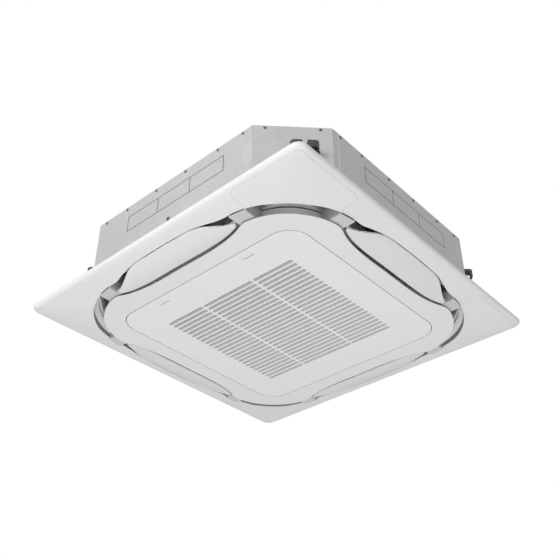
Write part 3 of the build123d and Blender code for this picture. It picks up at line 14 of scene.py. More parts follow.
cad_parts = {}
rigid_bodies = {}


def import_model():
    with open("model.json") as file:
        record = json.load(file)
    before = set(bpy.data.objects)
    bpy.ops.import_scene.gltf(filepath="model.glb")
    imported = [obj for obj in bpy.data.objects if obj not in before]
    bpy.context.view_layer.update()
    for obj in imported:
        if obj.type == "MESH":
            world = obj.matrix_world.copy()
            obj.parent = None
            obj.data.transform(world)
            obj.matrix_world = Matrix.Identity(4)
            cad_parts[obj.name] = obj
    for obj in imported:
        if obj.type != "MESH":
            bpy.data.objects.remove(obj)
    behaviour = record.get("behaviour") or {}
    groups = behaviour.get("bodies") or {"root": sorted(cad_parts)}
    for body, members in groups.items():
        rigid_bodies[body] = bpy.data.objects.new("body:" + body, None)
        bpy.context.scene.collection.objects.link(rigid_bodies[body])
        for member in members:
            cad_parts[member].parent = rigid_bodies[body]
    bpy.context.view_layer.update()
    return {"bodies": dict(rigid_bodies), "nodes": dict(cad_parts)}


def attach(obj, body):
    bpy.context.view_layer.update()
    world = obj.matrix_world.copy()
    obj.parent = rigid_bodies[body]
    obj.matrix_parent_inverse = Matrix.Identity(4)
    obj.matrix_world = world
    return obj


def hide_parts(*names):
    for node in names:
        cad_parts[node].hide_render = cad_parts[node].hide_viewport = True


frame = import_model()
nodes = frame["nodes"]
MM = 0.001

# %% [markdown]
# ## Camera
# The unit is seen from below, from its front right. The view's direction,
# distance and lens were fitted to the corners of the panel and the casing and to
# the grille's slats. A camera looks along its own -Z, so its matrix holds right,
# up and back as columns.

# %% Camera
view_turn, view_tilt, view_roll = map(math.radians, (41.38, -35.27, -0.23))
look_at, view_distance = (0.112, -0.127, 0.0315), 2.12
sensor_wide, focal_length = 36.0, 53.357
view_back = Vector((
    math.sin(view_turn) * math.cos(view_tilt),
    -math.cos(view_turn) * math.cos(view_tilt),
    math.sin(view_tilt),
))
view_right = (-view_back).cross(Vector((0, 0, 1))).normalized()
view_up = view_back.cross(view_right)
roll_right = view_right * math.cos(view_roll) + view_up * math.sin(view_roll)
roll_up = view_up * math.cos(view_roll) - view_right * math.sin(view_roll)
camera_data = bpy.data.cameras.new("camera")
camera_data.sensor_width = sensor_wide
camera_data.lens = focal_length
camera = bpy.data.objects.new("camera", camera_data)
bpy.context.scene.collection.objects.link(camera)
view_place = Vector(look_at) + view_back * view_distance
turn = Matrix((roll_right, roll_up, view_back)).transposed().to_4x4()
camera.matrix_world = Matrix.Translation(view_place) @ turn
bpy.context.scene.camera = camera
print("camera at", [round(v, 3) for v in view_place])

# %% [markdown]
# ## Stage and light
# The unit hangs well above a pale floor, because every view from below needs
# room under it. A white world fills the studio. Camera rays see it at full
# white, and the light that it gives is weaker, so that area lights shape the
# casing: its front is bright and its right side falls into soft shade.

# %% Floor
def mesh_object(name, verts, faces):
    mesh = bpy.data.meshes.new(name)
    mesh.from_pydata(verts, [], faces)
    made = bpy.data.objects.new(name, mesh)
    bpy.context.scene.collection.objects.link(made)
    return made


floor_level, floor_half = -2.7, 14.0
floor = mesh_object("floor", [
    (sx * floor_half, sy * floor_half, floor_level) for sx, sy in ((-1, -1), (1, -1), (1, 1), (-1, 1))
], [(0, 1, 2, 3)])
print("floor at", floor_level, "m, the grille at 0")

# %% World
bpy.context.scene.view_settings.view_transform = "Standard"
world_fill, seen_white = 0.57, 1.0
world = bpy.data.worlds.new("studio")
bpy.context.scene.world = world
world.use_nodes = True
sky = world.node_tree
sky.nodes.clear()
sky_out = sky.nodes.new("ShaderNodeOutputWorld")
sky_mix = sky.nodes.new("ShaderNodeMixShader")
sky_path = sky.nodes.new("ShaderNodeLightPath")
for socket, strength in ((1, world_fill), (2, seen_white)):
    backdrop = sky.nodes.new("ShaderNodeBackground")
    backdrop.inputs["Color"].default_value = (1.0, 1.0, 1.0, 1.0)
    backdrop.inputs["Strength"].default_value = strength
    sky.links.new(backdrop.outputs[0], sky_mix.inputs[socket])
sky.links.new(sky_path.outputs["Is Camera Ray"], sky_mix.inputs[0])
sky.links.new(sky_mix.outputs[0], sky_out.inputs[0])
print("world fill", world_fill)

# %% Area lights
def area_light(name, place, aim, size, power):
    data = bpy.data.lights.new(name, "AREA")
    data.shape = "DISK"
    data.size = size
    data.energy = power
    lamp = bpy.data.objects.new(name, data)
    bpy.context.scene.collection.objects.link(lamp)
    lamp.location = place
    lamp.rotation_mode = "QUATERNION"
    lamp.rotation_quaternion = (Vector(aim) - Vector(place)).to_track_quat("-Z", "Y")
    lamp.visible_camera = False
    return lamp


area_light("key_front", (0.5, -3.2, 0.5), (0, 0, 0.1), 2.0, 62)
area_light("fill_below", (0.4, -0.6, -2.4), (0, 0, 0), 2.4, 30)
area_light("top_soft", (-0.5, 0.5, 3.0), (0, 0, 0.2), 2.0, 40)

# %% [markdown]
# ## Shader groups
# Real sheet zinc, moulded plastic and foam share one thing: a fine uneven
# surface. An image could give it, but noise has no seams and no edges. One
# group makes a fine speckle with its bump and a wide soft cloud, and each
# material picks the speckle's size and depth. A second group makes the
# flat-sided crystals of zinc from Voronoi cells, because noise would blur them.

# %% Group: fine grain
def new_group(name, inputs, outputs):
    tree = bpy.data.node_groups.new(name, "ShaderNodeTree")
    for label, kind, value in inputs:
        socket = tree.interface.new_socket(name=label, in_out="INPUT", socket_type=kind)
        socket.default_value = value
    for label, kind in outputs:
        tree.interface.new_socket(name=label, in_out="OUTPUT", socket_type=kind)
    return tree, tree.nodes.new("NodeGroupInput"), tree.nodes.new("NodeGroupOutput")


def add_node(tree, kind, inputs=(), **settings):
    node = tree.nodes.new(kind)
    for key, value in settings.items():
        setattr(node, key, value)
    for key, value in dict(inputs).items():
        if hasattr(value, "links"):
            tree.links.new(value, node.inputs[key])
        else:
            node.inputs[key].default_value = value
    return node


grain_tree, grain_in, grain_out = new_group(
    "fine_grain",
    [("Scale", "NodeSocketFloat", 900.0), ("Depth", "NodeSocketFloat", 0.02)],
    [("Mask", "NodeSocketFloat"), ("Cloud", "NodeSocketFloat"), ("Normal", "NodeSocketVector")],
)
coords = add_node(grain_tree, "ShaderNodeTexCoord")
cloud_scale, grain_height = 7.0, 0.6 * MM
speck = add_node(grain_tree, "ShaderNodeTexNoise", {
    "Vector": coords.outputs["Object"], "Scale": grain_in.outputs["Scale"], "Detail": 3.0})
cloud = add_node(grain_tree, "ShaderNodeTexNoise", {
    "Vector": coords.outputs["Object"], "Scale": cloud_scale, "Detail": 2.0})
grain_bump = add_node(grain_tree, "ShaderNodeBump", {
    "Height": speck.outputs["Fac"], "Strength": grain_in.outputs["Depth"], "Distance": grain_height})
grain_tree.links.new(speck.outputs["Fac"], grain_out.inputs["Mask"])
grain_tree.links.new(cloud.outputs["Fac"], grain_out.inputs["Cloud"])
grain_tree.links.new(grain_bump.outputs["Normal"], grain_out.inputs["Normal"])
print("group", grain_tree.name, "nodes:", len(grain_tree.nodes))

# %% Group: zinc crystals
spangle_tree, spangle_in, spangle_out = new_group(
    "zinc_spangle",
    [("Scale", "NodeSocketFloat", 120.0), ("Contrast", "NodeSocketFloat", 0.12)],
    [("Shade", "NodeSocketFloat"), ("Rough", "NodeSocketFloat")],
)
coords = add_node(spangle_tree, "ShaderNodeTexCoord")
crystal = add_node(spangle_tree, "ShaderNodeTexVoronoi", {
    "Vector": coords.outputs["Object"], "Scale": spangle_in.outputs["Scale"]})
glossy_crystal, dull_crystal = 0.36, 0.5
tone = add_node(spangle_tree, "ShaderNodeSeparateColor", {0: crystal.outputs["Color"]})
centred = add_node(
    spangle_tree, "ShaderNodeMath", {0: tone.outputs[0], 1: 0.5}, operation="SUBTRACT")
swing = add_node(spangle_tree, "ShaderNodeMath", {
    0: centred.outputs[0], 1: spangle_in.outputs["Contrast"]}, operation="MULTIPLY")
shade = add_node(spangle_tree, "ShaderNodeMath", {0: swing.outputs[0], 1: 1.0}, operation="ADD")
rough = add_node(spangle_tree, "ShaderNodeMapRange", {
    "Value": tone.outputs[1], "To Min": glossy_crystal, "To Max": dull_crystal})
spangle_tree.links.new(shade.outputs[0], spangle_out.inputs["Shade"])
spangle_tree.links.new(rough.outputs["Result"], spangle_out.inputs["Rough"])
print("group", spangle_tree.name, "nodes:", len(spangle_tree.nodes))

# %% [markdown]
# ## Materials
# Each finish is a Principled shader of its own. The group only steers its
# colour, roughness and normal, so that the finish stays readable.

# %% Helper for a finish
gloss_swing = 0.12
cloud_low, cloud_high = 0.3, 0.7


def shader_of(material):
    return material.node_tree.nodes["Principled BSDF"]


def finish(name, colour, roughness, metallic=0.0, *, grain, depth, vary, **extra):
    """A Principled material with fine grain in its colour, roughness and normal."""
    material = bpy.data.materials.new(name)
    material.use_nodes = True
    tree = material.node_tree
    shader = shader_of(material)
    shader.inputs["Metallic"].default_value = metallic
    for key, value in extra.items():
        shader.inputs[key.replace("_", " ")].default_value = value
    fine = add_node(tree, "ShaderNodeGroup", node_tree=grain_tree)
    fine.inputs["Scale"].default_value = grain
    fine.inputs["Depth"].default_value = depth
    low = [c * (1 - vary) for c in colour] + [1.0]
    high = [min(1.0, c * (1 + vary)) for c in colour] + [1.0]
    ramp = add_node(tree, "ShaderNodeValToRGB", {0: fine.outputs["Cloud"]})
    ramp.color_ramp.elements[0].position = cloud_low
    ramp.color_ramp.elements[0].color = low
    ramp.color_ramp.elements[1].position = cloud_high
    ramp.color_ramp.elements[1].color = high
    gloss = add_node(tree, "ShaderNodeMapRange", {
        "Value": fine.outputs["Mask"],
        "To Min": roughness * (1 - gloss_swing), "To Max": min(1.0, roughness * (1 + gloss_swing))})
    tree.links.new(ramp.outputs[0], shader.inputs["Base Color"])
    tree.links.new(gloss.outputs["Result"], shader.inputs["Roughness"])
    tree.links.new(fine.outputs["Normal"], shader.inputs["Normal"])
    return material


print("gloss swings by", gloss_swing, "each way")

# %% [markdown]
# ## Moulded plastics
# The panel, its covers, flaps and grille are one white satin moulding compound.
# A fine texture softens their highlights. The bridges between them are a mid
# grey, so that they recede into the air gap. The outlet duct and the grille are
# single mouldings, so their painted tones can't be separate pieces. How steep a
# face is places them: painted light turns the duct's shaded slope cream, painted
# shade gives its upright edge a dark line, and painted shade darkens the walls of
# the grille's slots. Above its lower skin the ring turns cream, which is painted
# light.

# %% Helpers: tones by height and by slope
def recolour_above(material, colour, height):
    """Above `height`, in metres in the model's frame, the colour turns to `colour`."""
    tree = material.node_tree
    target = shader_of(material).inputs["Base Color"]
    below = target.links[0].from_socket
    coords = add_node(tree, "ShaderNodeTexCoord")
    split = add_node(tree, "ShaderNodeSeparateXYZ", {0: coords.outputs["Object"]})
    above = add_node(
        tree, "ShaderNodeMath", {0: split.outputs["Z"], 1: height}, operation="GREATER_THAN")
    mixed = add_node(
        tree, "ShaderNodeMix", {0: above.outputs[0], 6: below, 7: (*colour, 1.0)}, data_type="RGBA")
    tree.links.new(mixed.outputs[2], target)
    return material


def steep_face_mask(material, reach, steepness):
    """One inside `reach` metres where a face's normal rises less than `steepness`."""
    tree = material.node_tree
    coords = add_node(tree, "ShaderNodeTexCoord")
    place = add_node(tree, "ShaderNodeVectorMath", {0: coords.outputs["Object"]}, operation="ABSOLUTE")
    facing = add_node(tree, "ShaderNodeVectorMath", {0: coords.outputs["Normal"]}, operation="ABSOLUTE")
    place = add_node(tree, "ShaderNodeSeparateXYZ", {0: place.outputs[0]})
    facing = add_node(tree, "ShaderNodeSeparateXYZ", {0: facing.outputs[0]})
    out = add_node(
        tree, "ShaderNodeMath", {0: place.outputs["X"], 1: place.outputs["Y"]}, operation="MAXIMUM")
    inside = add_node(tree, "ShaderNodeMath", {0: out.outputs[0], 1: reach}, operation="LESS_THAN")
    steep = add_node(
        tree, "ShaderNodeMath", {0: facing.outputs["Z"], 1: steepness}, operation="LESS_THAN")
    mask = add_node(
        tree, "ShaderNodeMath", {0: inside.outputs[0], 1: steep.outputs[0]}, operation="MULTIPLY")
    return mask.outputs[0]


def tint_by(material, mask_socket, colour):
    """Where the mask is high, the colour turns to `colour`."""
    tree = material.node_tree
    target = shader_of(material).inputs["Base Color"]
    mixed = add_node(tree, "ShaderNodeMix", {
        0: mask_socket, 6: target.links[0].from_socket, 7: (*colour, 1.0)}, data_type="RGBA")
    tree.links.new(mixed.outputs[2], target)
    return material


duct_reach, slot_reach, ring_skin = 436.8 * MM, 225.0 * MM, 2.2 * MM
sloping, upright = 0.9, 0.3
print("tones part at slopes", sloping, "and", upright)

# %% Whites
# The cream is painted light, and the edge grey and the slot grey are painted shade.
white, painted_light_cream = (0.73, 0.73, 0.73), (0.97, 0.965, 0.925)
edge_painted_shade, slot_painted_shade = (0.30, 0.30, 0.29), (0.64, 0.635, 0.65)
moulded = dict(grain=1400.0, depth=0.05, vary=0.006)
sealed = dict(Coat_Weight=0.15, Coat_Roughness=0.3, **moulded)
panel_white = finish("panel_white", white, 0.38, **sealed)
flap_white = finish("flap_white", (0.69, 0.685, 0.685), 0.38, **moulded)
grille_white = finish("grille_white", (0.765, 0.76, 0.765), 0.42, **moulded)
# Painted shade: the steep walls of the grille's slots turn darker.
tint_by(grille_white, steep_face_mask(grille_white, slot_reach, sloping), slot_painted_shade)
# Painted light: above its lower skin the ring turns a lighter cream.
ring_white = recolour_above(finish("ring_white", white, 0.4, **moulded), painted_light_cream, ring_skin)
frame_white = finish("frame_white", white, 0.38, **sealed)
# Painted light lifts the duct's shaded slope to cream, and painted shade darkens its upright edge to a
# dark line.
tint_by(frame_white, steep_face_mask(frame_white, duct_reach, sloping), painted_light_cream)
tint_by(frame_white, steep_face_mask(frame_white, duct_reach, upright), edge_painted_shade)
print("whites:", len(bpy.data.materials))

# %% Other plastics
bridge_grey = finish("bridge_grey", (0.55, 0.55, 0.56), 0.5, grain=1100.0, depth=0.05, vary=0.02)
light_plastic = finish("light_plastic", (0.62, 0.62, 0.61), 0.45, grain=1000.0, depth=0.05, vary=0.02)
fan_plastic = finish("fan_plastic", (0.10, 0.11, 0.12), 0.42, grain=700.0, depth=0.08, vary=0.08)
black_rubber = finish("black_rubber", (0.03, 0.03, 0.032), 0.75, grain=500.0, depth=0.15, vary=0.15)
board_green = finish("board_green", (0.03, 0.18, 0.08), 0.35, grain=300.0, depth=0.1, vary=0.12)
motor_black = finish("motor_black", (0.05, 0.05, 0.055), 0.4, grain=420.0, depth=0.2, vary=0.1)
print("plastics:", len(bpy.data.materials))

# %% [markdown]
# ## Metals
# The casing is hot-dip galvanised sheet. Its crystals differ in brightness and
# in gloss, which gives the sheet its quiet mottling. Screws, tubes and nuts are
# too small to show crystals, so they get a plain metal finish.

# %% Zinc, copper and brass
def zinc_sheet(name, colour, scale, contrast, metallic):
    """A finish whose crystals set its brightness and take over its roughness."""
    material = finish(name, colour, 0.42, metallic, grain=260.0, depth=0.04, vary=0.03)
    tree = material.node_tree
    shader = shader_of(material)
    ramp = shader.inputs["Base Color"].links[0].from_node
    crystals = add_node(tree, "ShaderNodeGroup", node_tree=spangle_tree)
    crystals.inputs["Scale"].default_value = scale
    crystals.inputs["Contrast"].default_value = contrast
    tinted = add_node(tree, "ShaderNodeVectorMath", {
        0: ramp.outputs[0], 1: crystals.outputs["Shade"]}, operation="MULTIPLY")
    tree.links.new(tinted.outputs[0], shader.inputs["Base Color"])
    tree.links.new(crystals.outputs["Rough"], shader.inputs["Roughness"])
    return material


casing_zinc = zinc_sheet("casing_zinc", (0.60, 0.615, 0.615), 150.0, 0.05, 0.5)
plated_zinc = zinc_sheet("plated_zinc", (0.33, 0.36, 0.355), 240.0, 0.10, 0.9)
hanger_zinc = zinc_sheet("hanger_zinc", (0.11, 0.12, 0.12), 240.0, 0.10, 0.8)
cut_edge = finish("cut_edge", (0.86, 0.87, 0.87), 0.4, 0.2, grain=800.0, depth=0.04, vary=0.03)
screw_metal = finish("screw_metal", (0.16, 0.16, 0.16), 0.35, 0.8, grain=800.0, depth=0.04, vary=0.04)
bright_metal = finish("bright_metal", (0.66, 0.67, 0.68), 0.28, 1.0, grain=800.0, depth=0.04, vary=0.04)
fin_metal = finish("fin_metal", (0.78, 0.8, 0.81), 0.35, 0.9, grain=300.0, depth=0.05, vary=0.05)
copper = finish("copper", (0.72, 0.36, 0.22), 0.32, 1.0, grain=120.0, depth=0.05, vary=0.14)
brass = finish("brass", (0.76, 0.56, 0.25), 0.26, 1.0, grain=500.0, depth=0.04, vary=0.06)
print("materials:", len(bpy.data.materials))

# %% [markdown]
# ## Foam
# The liner and the drain pan are moulded from expanded beads. Modelled beads
# would cost millions of faces, so Voronoi cells give them, and the bump sinks
# the lines between them.

# %% Bead foam, with the helper for its bump
def raised_pattern(material, height_socket, strength, distance):
    """Adds a bump from any height pattern on top of the grain that is there."""
    tree = material.node_tree
    target = shader_of(material).inputs["Normal"]
    bump = add_node(tree, "ShaderNodeBump", {
        "Height": height_socket, "Strength": strength, "Distance": distance,
        "Normal": target.links[0].from_socket})
    tree.links.new(bump.outputs["Normal"], target)
    return material


bead_scale = 260.0
bead_foam = finish("bead_foam", (0.82, 0.82, 0.8), 0.8, grain=400.0, depth=0.05, vary=0.02)
coords = add_node(bead_foam.node_tree, "ShaderNodeTexCoord")
beads = add_node(bead_foam.node_tree, "ShaderNodeTexVoronoi", {
    "Vector": coords.outputs["Object"], "Scale": bead_scale}, feature="DISTANCE_TO_EDGE")
raised_pattern(bead_foam, beads.outputs["Distance"], 0.5, 1.0 * MM)
print("bead size about", round(1 / bead_scale / MM, 1), "mm")

# %% [markdown]
# ## Filter plastic
# Behind the grille lies a net of grey threads on a frame with bars, all of one
# plastic. Two crossed waves in its bump give this plastic a fine woven relief.
# The frame and its bars are in the model, and the threads come further down.

# %% Filter
filter_grey = finish("filter_grey", (0.20, 0.205, 0.215), 0.6, grain=900.0, depth=0.05, vary=0.04)
coords = add_node(filter_grey.node_tree, "ShaderNodeTexCoord")
thread_scale, thread_height = 260.0, 0.3 * MM
threads = []
for way in ("X", "Y"):
    wave = add_node(filter_grey.node_tree, "ShaderNodeTexWave", {
        "Vector": coords.outputs["Object"], "Scale": thread_scale}, bands_direction=way)
    threads.append(wave.outputs["Fac"])
net = add_node(
    filter_grey.node_tree, "ShaderNodeMath", {0: threads[0], 1: threads[1]}, operation="MAXIMUM")
raised_pattern(filter_grey, net.outputs[0], 0.3, thread_height)
print("filter relief:", len(threads), "waves")

# %% [markdown]
# ## Circuit board
# Copper tracks run under the green mask. The board sits inside its box, where
# modelled tracks would be wasted. A brick pattern's mortar gives their straight
# runs and turns in the colour, and lifts them a little.

# %% Circuit board
coords = add_node(board_green.node_tree, "ShaderNodeTexCoord")
tracks = add_node(board_green.node_tree, "ShaderNodeTexBrick", {
    "Vector": coords.outputs["Object"], "Scale": 90.0, "Mortar Size": 0.06, "Brick Width": 0.8,
    "Row Height": 0.35})
track_green, track_height = (0.10, 0.34, 0.16), 0.2 * MM
tint_by(board_green, tracks.outputs["Fac"], track_green)
raised_pattern(board_green, tracks.outputs["Fac"], 0.3, track_height)
print("board nodes:", len(board_green.node_tree.nodes))

# %% [markdown]
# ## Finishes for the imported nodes
# Every rigid node keeps its shape and gets its finish by name. A list of all the
# nodes would be long, so the longest start of a name that matches decides, and
# a node that matches nothing is light plastic.

# %% Assign the finishes
wears = {
    "panel_frame": frame_white, "corner_cover": panel_white, "air_flap": flap_white,
    "intake_ring": ring_white, "suction_grille": grille_white, "grille_latch": grille_white,
    "bridges": bridge_grey, "air_filter": filter_grey, "casing_shell": casing_zinc,
    "top_plate": casing_zinc, "hanger_bracket": hanger_zinc, "control_box": plated_zinc,
    "control_lid": plated_zinc, "motor_bracket": plated_zinc, "pump_bracket": plated_zinc,
    "coil_end_plates": plated_zinc, "casing_screws": screw_metal, "panel_bolts": bright_metal,
    "fan_shaft": bright_metal, "fan_nut": bright_metal, "insulation_liner": bead_foam,
    "drain_pan": bead_foam, "coil_fins": fin_metal, "return_bends": copper, "gas_pipe": copper,
    "liquid_pipe": copper, "gas_flare_nut": brass, "liquid_flare_nut": brass,
    "fan_motor": motor_black, "pump_motor": motor_black, "flap_motor": bright_metal,
    "turbo_fan": fan_plastic, "pump_impeller": fan_plastic, "circuit_board": board_green,
    "panel_seals": black_rubber, "motor_mounts": black_rubber, "drain_hose": black_rubber,
    "cable_gland": black_rubber,
}
for name, piece in nodes.items():
    matches = [key for key in wears if name.startswith(key)]
    chosen = wears[max(matches, key=len)] if matches else light_plastic
    piece.data.materials.clear()
    piece.data.materials.append(chosen)
print("finished nodes:", len(nodes))

# %% [markdown]
# ## Copies on points
# Fins, threads and screw heads repeat. An Array modifier can't follow a coil's
# bends or a casing's corners, so one Geometry Nodes tree serves them all. Each
# point carries two directions: where the copy faces, and which way runs along
# it. The tree turns a copy to both, makes it real and sets its material.

# %% Geometry Nodes: one copy at each point
copies = bpy.data.node_groups.new("copies_on_points", "GeometryNodeTree")
for label, kind, way in (
    ("Points", "NodeSocketGeometry", "INPUT"), ("Copy", "NodeSocketObject", "INPUT"),
    ("Size", "NodeSocketFloat", "INPUT"), ("Finish", "NodeSocketMaterial", "INPUT"),
    ("Result", "NodeSocketGeometry", "OUTPUT"),
):
    copies.interface.new_socket(name=label, in_out=way, socket_type=kind)
entry = copies.nodes.new("NodeGroupInput")
leave = copies.nodes.new("NodeGroupOutput")
shape = add_node(copies, "GeometryNodeObjectInfo", {"Object": entry.outputs["Copy"]})
facing, along = (
    add_node(copies, "GeometryNodeInputNamedAttribute", {"Name": label}, data_type="FLOAT_VECTOR")
    for label in ("facing", "along"))
first_turn = add_node(copies, "FunctionNodeAlignRotationToVector", {
    "Vector": facing.outputs["Attribute"]}, axis="Z")
second_turn = add_node(copies, "FunctionNodeAlignRotationToVector", {
    "Rotation": first_turn.outputs[0], "Vector": along.outputs["Attribute"]}, axis="X", pivot_axis="Z")
placed = add_node(copies, "GeometryNodeInstanceOnPoints", {
    "Points": entry.outputs["Points"], "Instance": shape.outputs["Geometry"],
    "Rotation": second_turn.outputs[0], "Scale": entry.outputs["Size"]})
real = add_node(copies, "GeometryNodeRealizeInstances", {0: placed.outputs[0]})
dressed = add_node(copies, "GeometryNodeSetMaterial", {
    0: real.outputs[0], "Material": entry.outputs["Finish"]})
copies.links.new(dressed.outputs[0], leave.inputs[0])
print("tree", copies.name, "nodes:", len(copies.nodes))

# %% Helpers: a plain mesh of a piece, and copies laid on points
def flatten(piece, name):
    """The piece with its modifiers applied, as a plain mesh object at the origin."""
    graph = bpy.context.evaluated_depsgraph_get()
    mesh = bpy.data.meshes.new_from_object(piece.evaluated_get(graph))
    bpy.data.objects.remove(piece)
    plain = bpy.data.objects.new(name, mesh)
    mesh.name = name
    bpy.context.scene.collection.objects.link(plain)
    return plain


def copies_on_points(name, places, shape_object, material, size=1.0):
    """A plain mesh of copies; each place is (point, facing, along)."""
    mesh = bpy.data.meshes.new(name)
    mesh.from_pydata([place[0] for place in places], [], [])
    for label, index in (("facing", 1), ("along", 2)):
        layer = mesh.attributes.new(label, "FLOAT_VECTOR", "POINT")
        layer.data.foreach_set("vector", [v for place in places for v in place[index]])
    base = bpy.data.objects.new(name, mesh)
    bpy.context.scene.collection.objects.link(base)
    grow = base.modifiers.new("copies", "NODES")
    grow.node_group = copies
    values = {"Copy": shape_object, "Size": size, "Finish": material}
    for item in copies.interface.items_tree:
        if item.in_out == "INPUT" and item.name in values:
            grow[item.identifier] = values[item.name]
    return flatten(base, name)


print("inputs:", [item.name for item in copies.interface.items_tree if item.in_out == "INPUT"])

# %% [markdown]
# ## Smooth mouldings
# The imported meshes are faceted. A subdivision would round their true edges off,
# so the flaps, pipes and other rounded pieces get copies whose vertices are only
# merged, and light rolls over their curves. Edges sharper than the given angle
# stay crisp. Each copy replaces its node and rides on the same body, so it moves
# in every pose.

# %% Smooth copies of the curved pieces
homes = {name: body for name, piece in nodes.items()
         for body, empty in frame["bodies"].items() if piece.parent == empty}
merge_distance = 0.002 * MM


def smooth_copy(name, angle):
    """A shape-true copy of a node, smooth except at edges sharper than `angle`."""
    node = nodes[name]
    bm = bmesh.new()
    bm.from_mesh(node.data)
    bm.transform(node.matrix_world)
    bmesh.ops.remove_doubles(bm, verts=bm.verts, dist=merge_distance)
    mesh = bpy.data.meshes.new(name + "_finished")
    bm.to_mesh(mesh)
    bm.free()
    mesh.shade_smooth()
    mesh.set_sharp_from_angle(angle=math.radians(angle))
    mesh.materials.append(node.data.materials[0])
    copy = bpy.data.objects.new(name + "_finished", mesh)
    bpy.context.scene.collection.objects.link(copy)
    even = copy.modifiers.new("even", "WEIGHTED_NORMAL")
    even.weight, even.keep_sharp = 80, True
    copy = flatten(copy, name + "_finished")
    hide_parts(name)
    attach(copy, homes[name])
    return copy


crisp_edges = {
    "air_flap": 34, "bell_mouth": 30, "turbo_fan": 30, "fan_motor": 30, "pump_motor": 30,
    "pump_body": 30, "pump_impeller": 30, "float": 30, "gas_pipe": 40, "liquid_pipe": 40,
    "return_bends": 40, "drain_hose": 40, "drain_socket": 30, "drain_pan": 30,
    "cable_gland": 25, "flap_motor": 30, "motor_mounts": 30, "fan_shaft": 30, "fan_nut": 25,
    "gas_flare_nut": 25, "liquid_flare_nut": 25,
}
smoothed = {}
for name in sorted(nodes):
    for key, angle in crisp_edges.items():
        if name.startswith(key) and name not in smoothed:
            smoothed[name] = smooth_copy(name, angle)
print("smooth copies:", len(smoothed))

# %% [markdown]
# ## Filter net
# A net of fine threads lies on the filter's bars. It shows between the slats, so
# its threads are modelled. One thread is a long thin block. The same Geometry
# Nodes tree lays it every 3 mm, first one way and then the other, and the net
# swings down with the grille.

# %% Filter net
net_half, net_level, net_pitch, thread_half = 268.5, 8.2, 3.0, 0.2
net_lanes = int(net_half // net_pitch)
thread_box = [(x * net_half * MM, y * thread_half * MM, z * thread_half * MM)
              for x in (-1, 1) for y in (-1, 1) for z in (-1, 1)]
one_thread = mesh_object("one_thread", thread_box, [
    (0, 1, 3, 2), (4, 6, 7, 5), (0, 4, 5, 1), (2, 3, 7, 6), (0, 2, 6, 4), (1, 5, 7, 3)])
lanes = [k * net_pitch for k in range(-net_lanes, net_lanes + 1)]
thread_places = [(Vector((0, lane, net_level)) * MM, (0, 0, 1), (1, 0, 0)) for lane in lanes]
thread_places += [
    (Vector((lane, 0, net_level + 2 * thread_half)) * MM, (0, 0, 1), (0, 1, 0)) for lane in lanes]
net_sheet = copies_on_points("filter_net", thread_places, one_thread, filter_grey)
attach(net_sheet, "grille")
bpy.data.objects.remove(one_thread)
print("threads:", len(thread_places))

# %% [markdown]
# ## Scored lines and folds on the casing
# Knock-out windows for branch ducts are scored into the front and right faces.
# The grooves are in the model, but light fills such shallow ones. A real score
# reads as a dark line of shade, so a thin strip of painted shadow lies on each
# groove's floor. A narrow raised seam runs up the right face near its front edge.

# %% Score shadows and the raised seam
def boxes_mesh(name, boxes, material):
    """One mesh of small blocks; each is (low corner, high corner) in millimetres."""
    bm = bmesh.new()
    for low_mm, high_mm in boxes:
        corners = bmesh.ops.create_cube(bm, size=1.0)["verts"]
        middle = [(a + b) / 2 * MM for a, b in zip(low_mm, high_mm)]
        bmesh.ops.scale(bm, vec=[(b - a) * MM for a, b in zip(low_mm, high_mm)], verts=corners)
        bmesh.ops.translate(bm, vec=middle, verts=corners)
    mesh = bpy.data.meshes.new(name)
    bm.to_mesh(mesh)
    bm.free()
    mesh.materials.append(material)
    made = bpy.data.objects.new(name, mesh)
    bpy.context.scene.collection.objects.link(made)
    return made


wall = 420.0
groove_floor, strip_face, strip_half = 0.4, 0.12, 0.95
window_level, window_half, window_pitch, window_shift = 183.5, 24.0, 117.0, 15.0
window_low, window_high = window_level - window_half, window_level + window_half
window_edges = [window_shift + step * window_pitch for step in (-1.5, -0.5, 0.5, 1.5)]
strips = []
for edge in window_edges:
    strips.append((edge - strip_half, edge + strip_half, window_low, window_high))
for level in (window_low, window_high):
    strips.append((window_edges[0], window_edges[-1], level - strip_half, level + strip_half))
score_boxes = []
for a0, a1, z0, z1 in strips:
    score_boxes.append(((a0, -wall + strip_face, z0), (a1, -wall + groove_floor, z1)))
    score_boxes.append(((wall - groove_floor, a0, z0), (wall - strip_face, a1, z1)))
score_shadow = finish("score_shadow", (0.06, 0.062, 0.06), 0.6, 0.2, grain=500.0, depth=0.05, vary=0.15)
scores = boxes_mesh("score_shadows", score_boxes, score_shadow)
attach(scores, "root")
seam_low, seam_high = (wall, -265.0, 46.0), (wall + 0.5, -263.8, 240.0)
fold_seam = boxes_mesh("fold_seam", [(seam_low, seam_high)], cut_edge)
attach(fold_seam, "root")
print("score strips:", len(score_boxes))

# %% [markdown]
# ## Coil
# The heat exchanger is a stack of thin corrugated fins, bent round three
# corners with the tubes that run through them. In the model it is one block,
# which the stack replaces. A fin stands every 3 mm along the block's middle
# line, and twelve copper tubes follow the same line as bevelled curves.

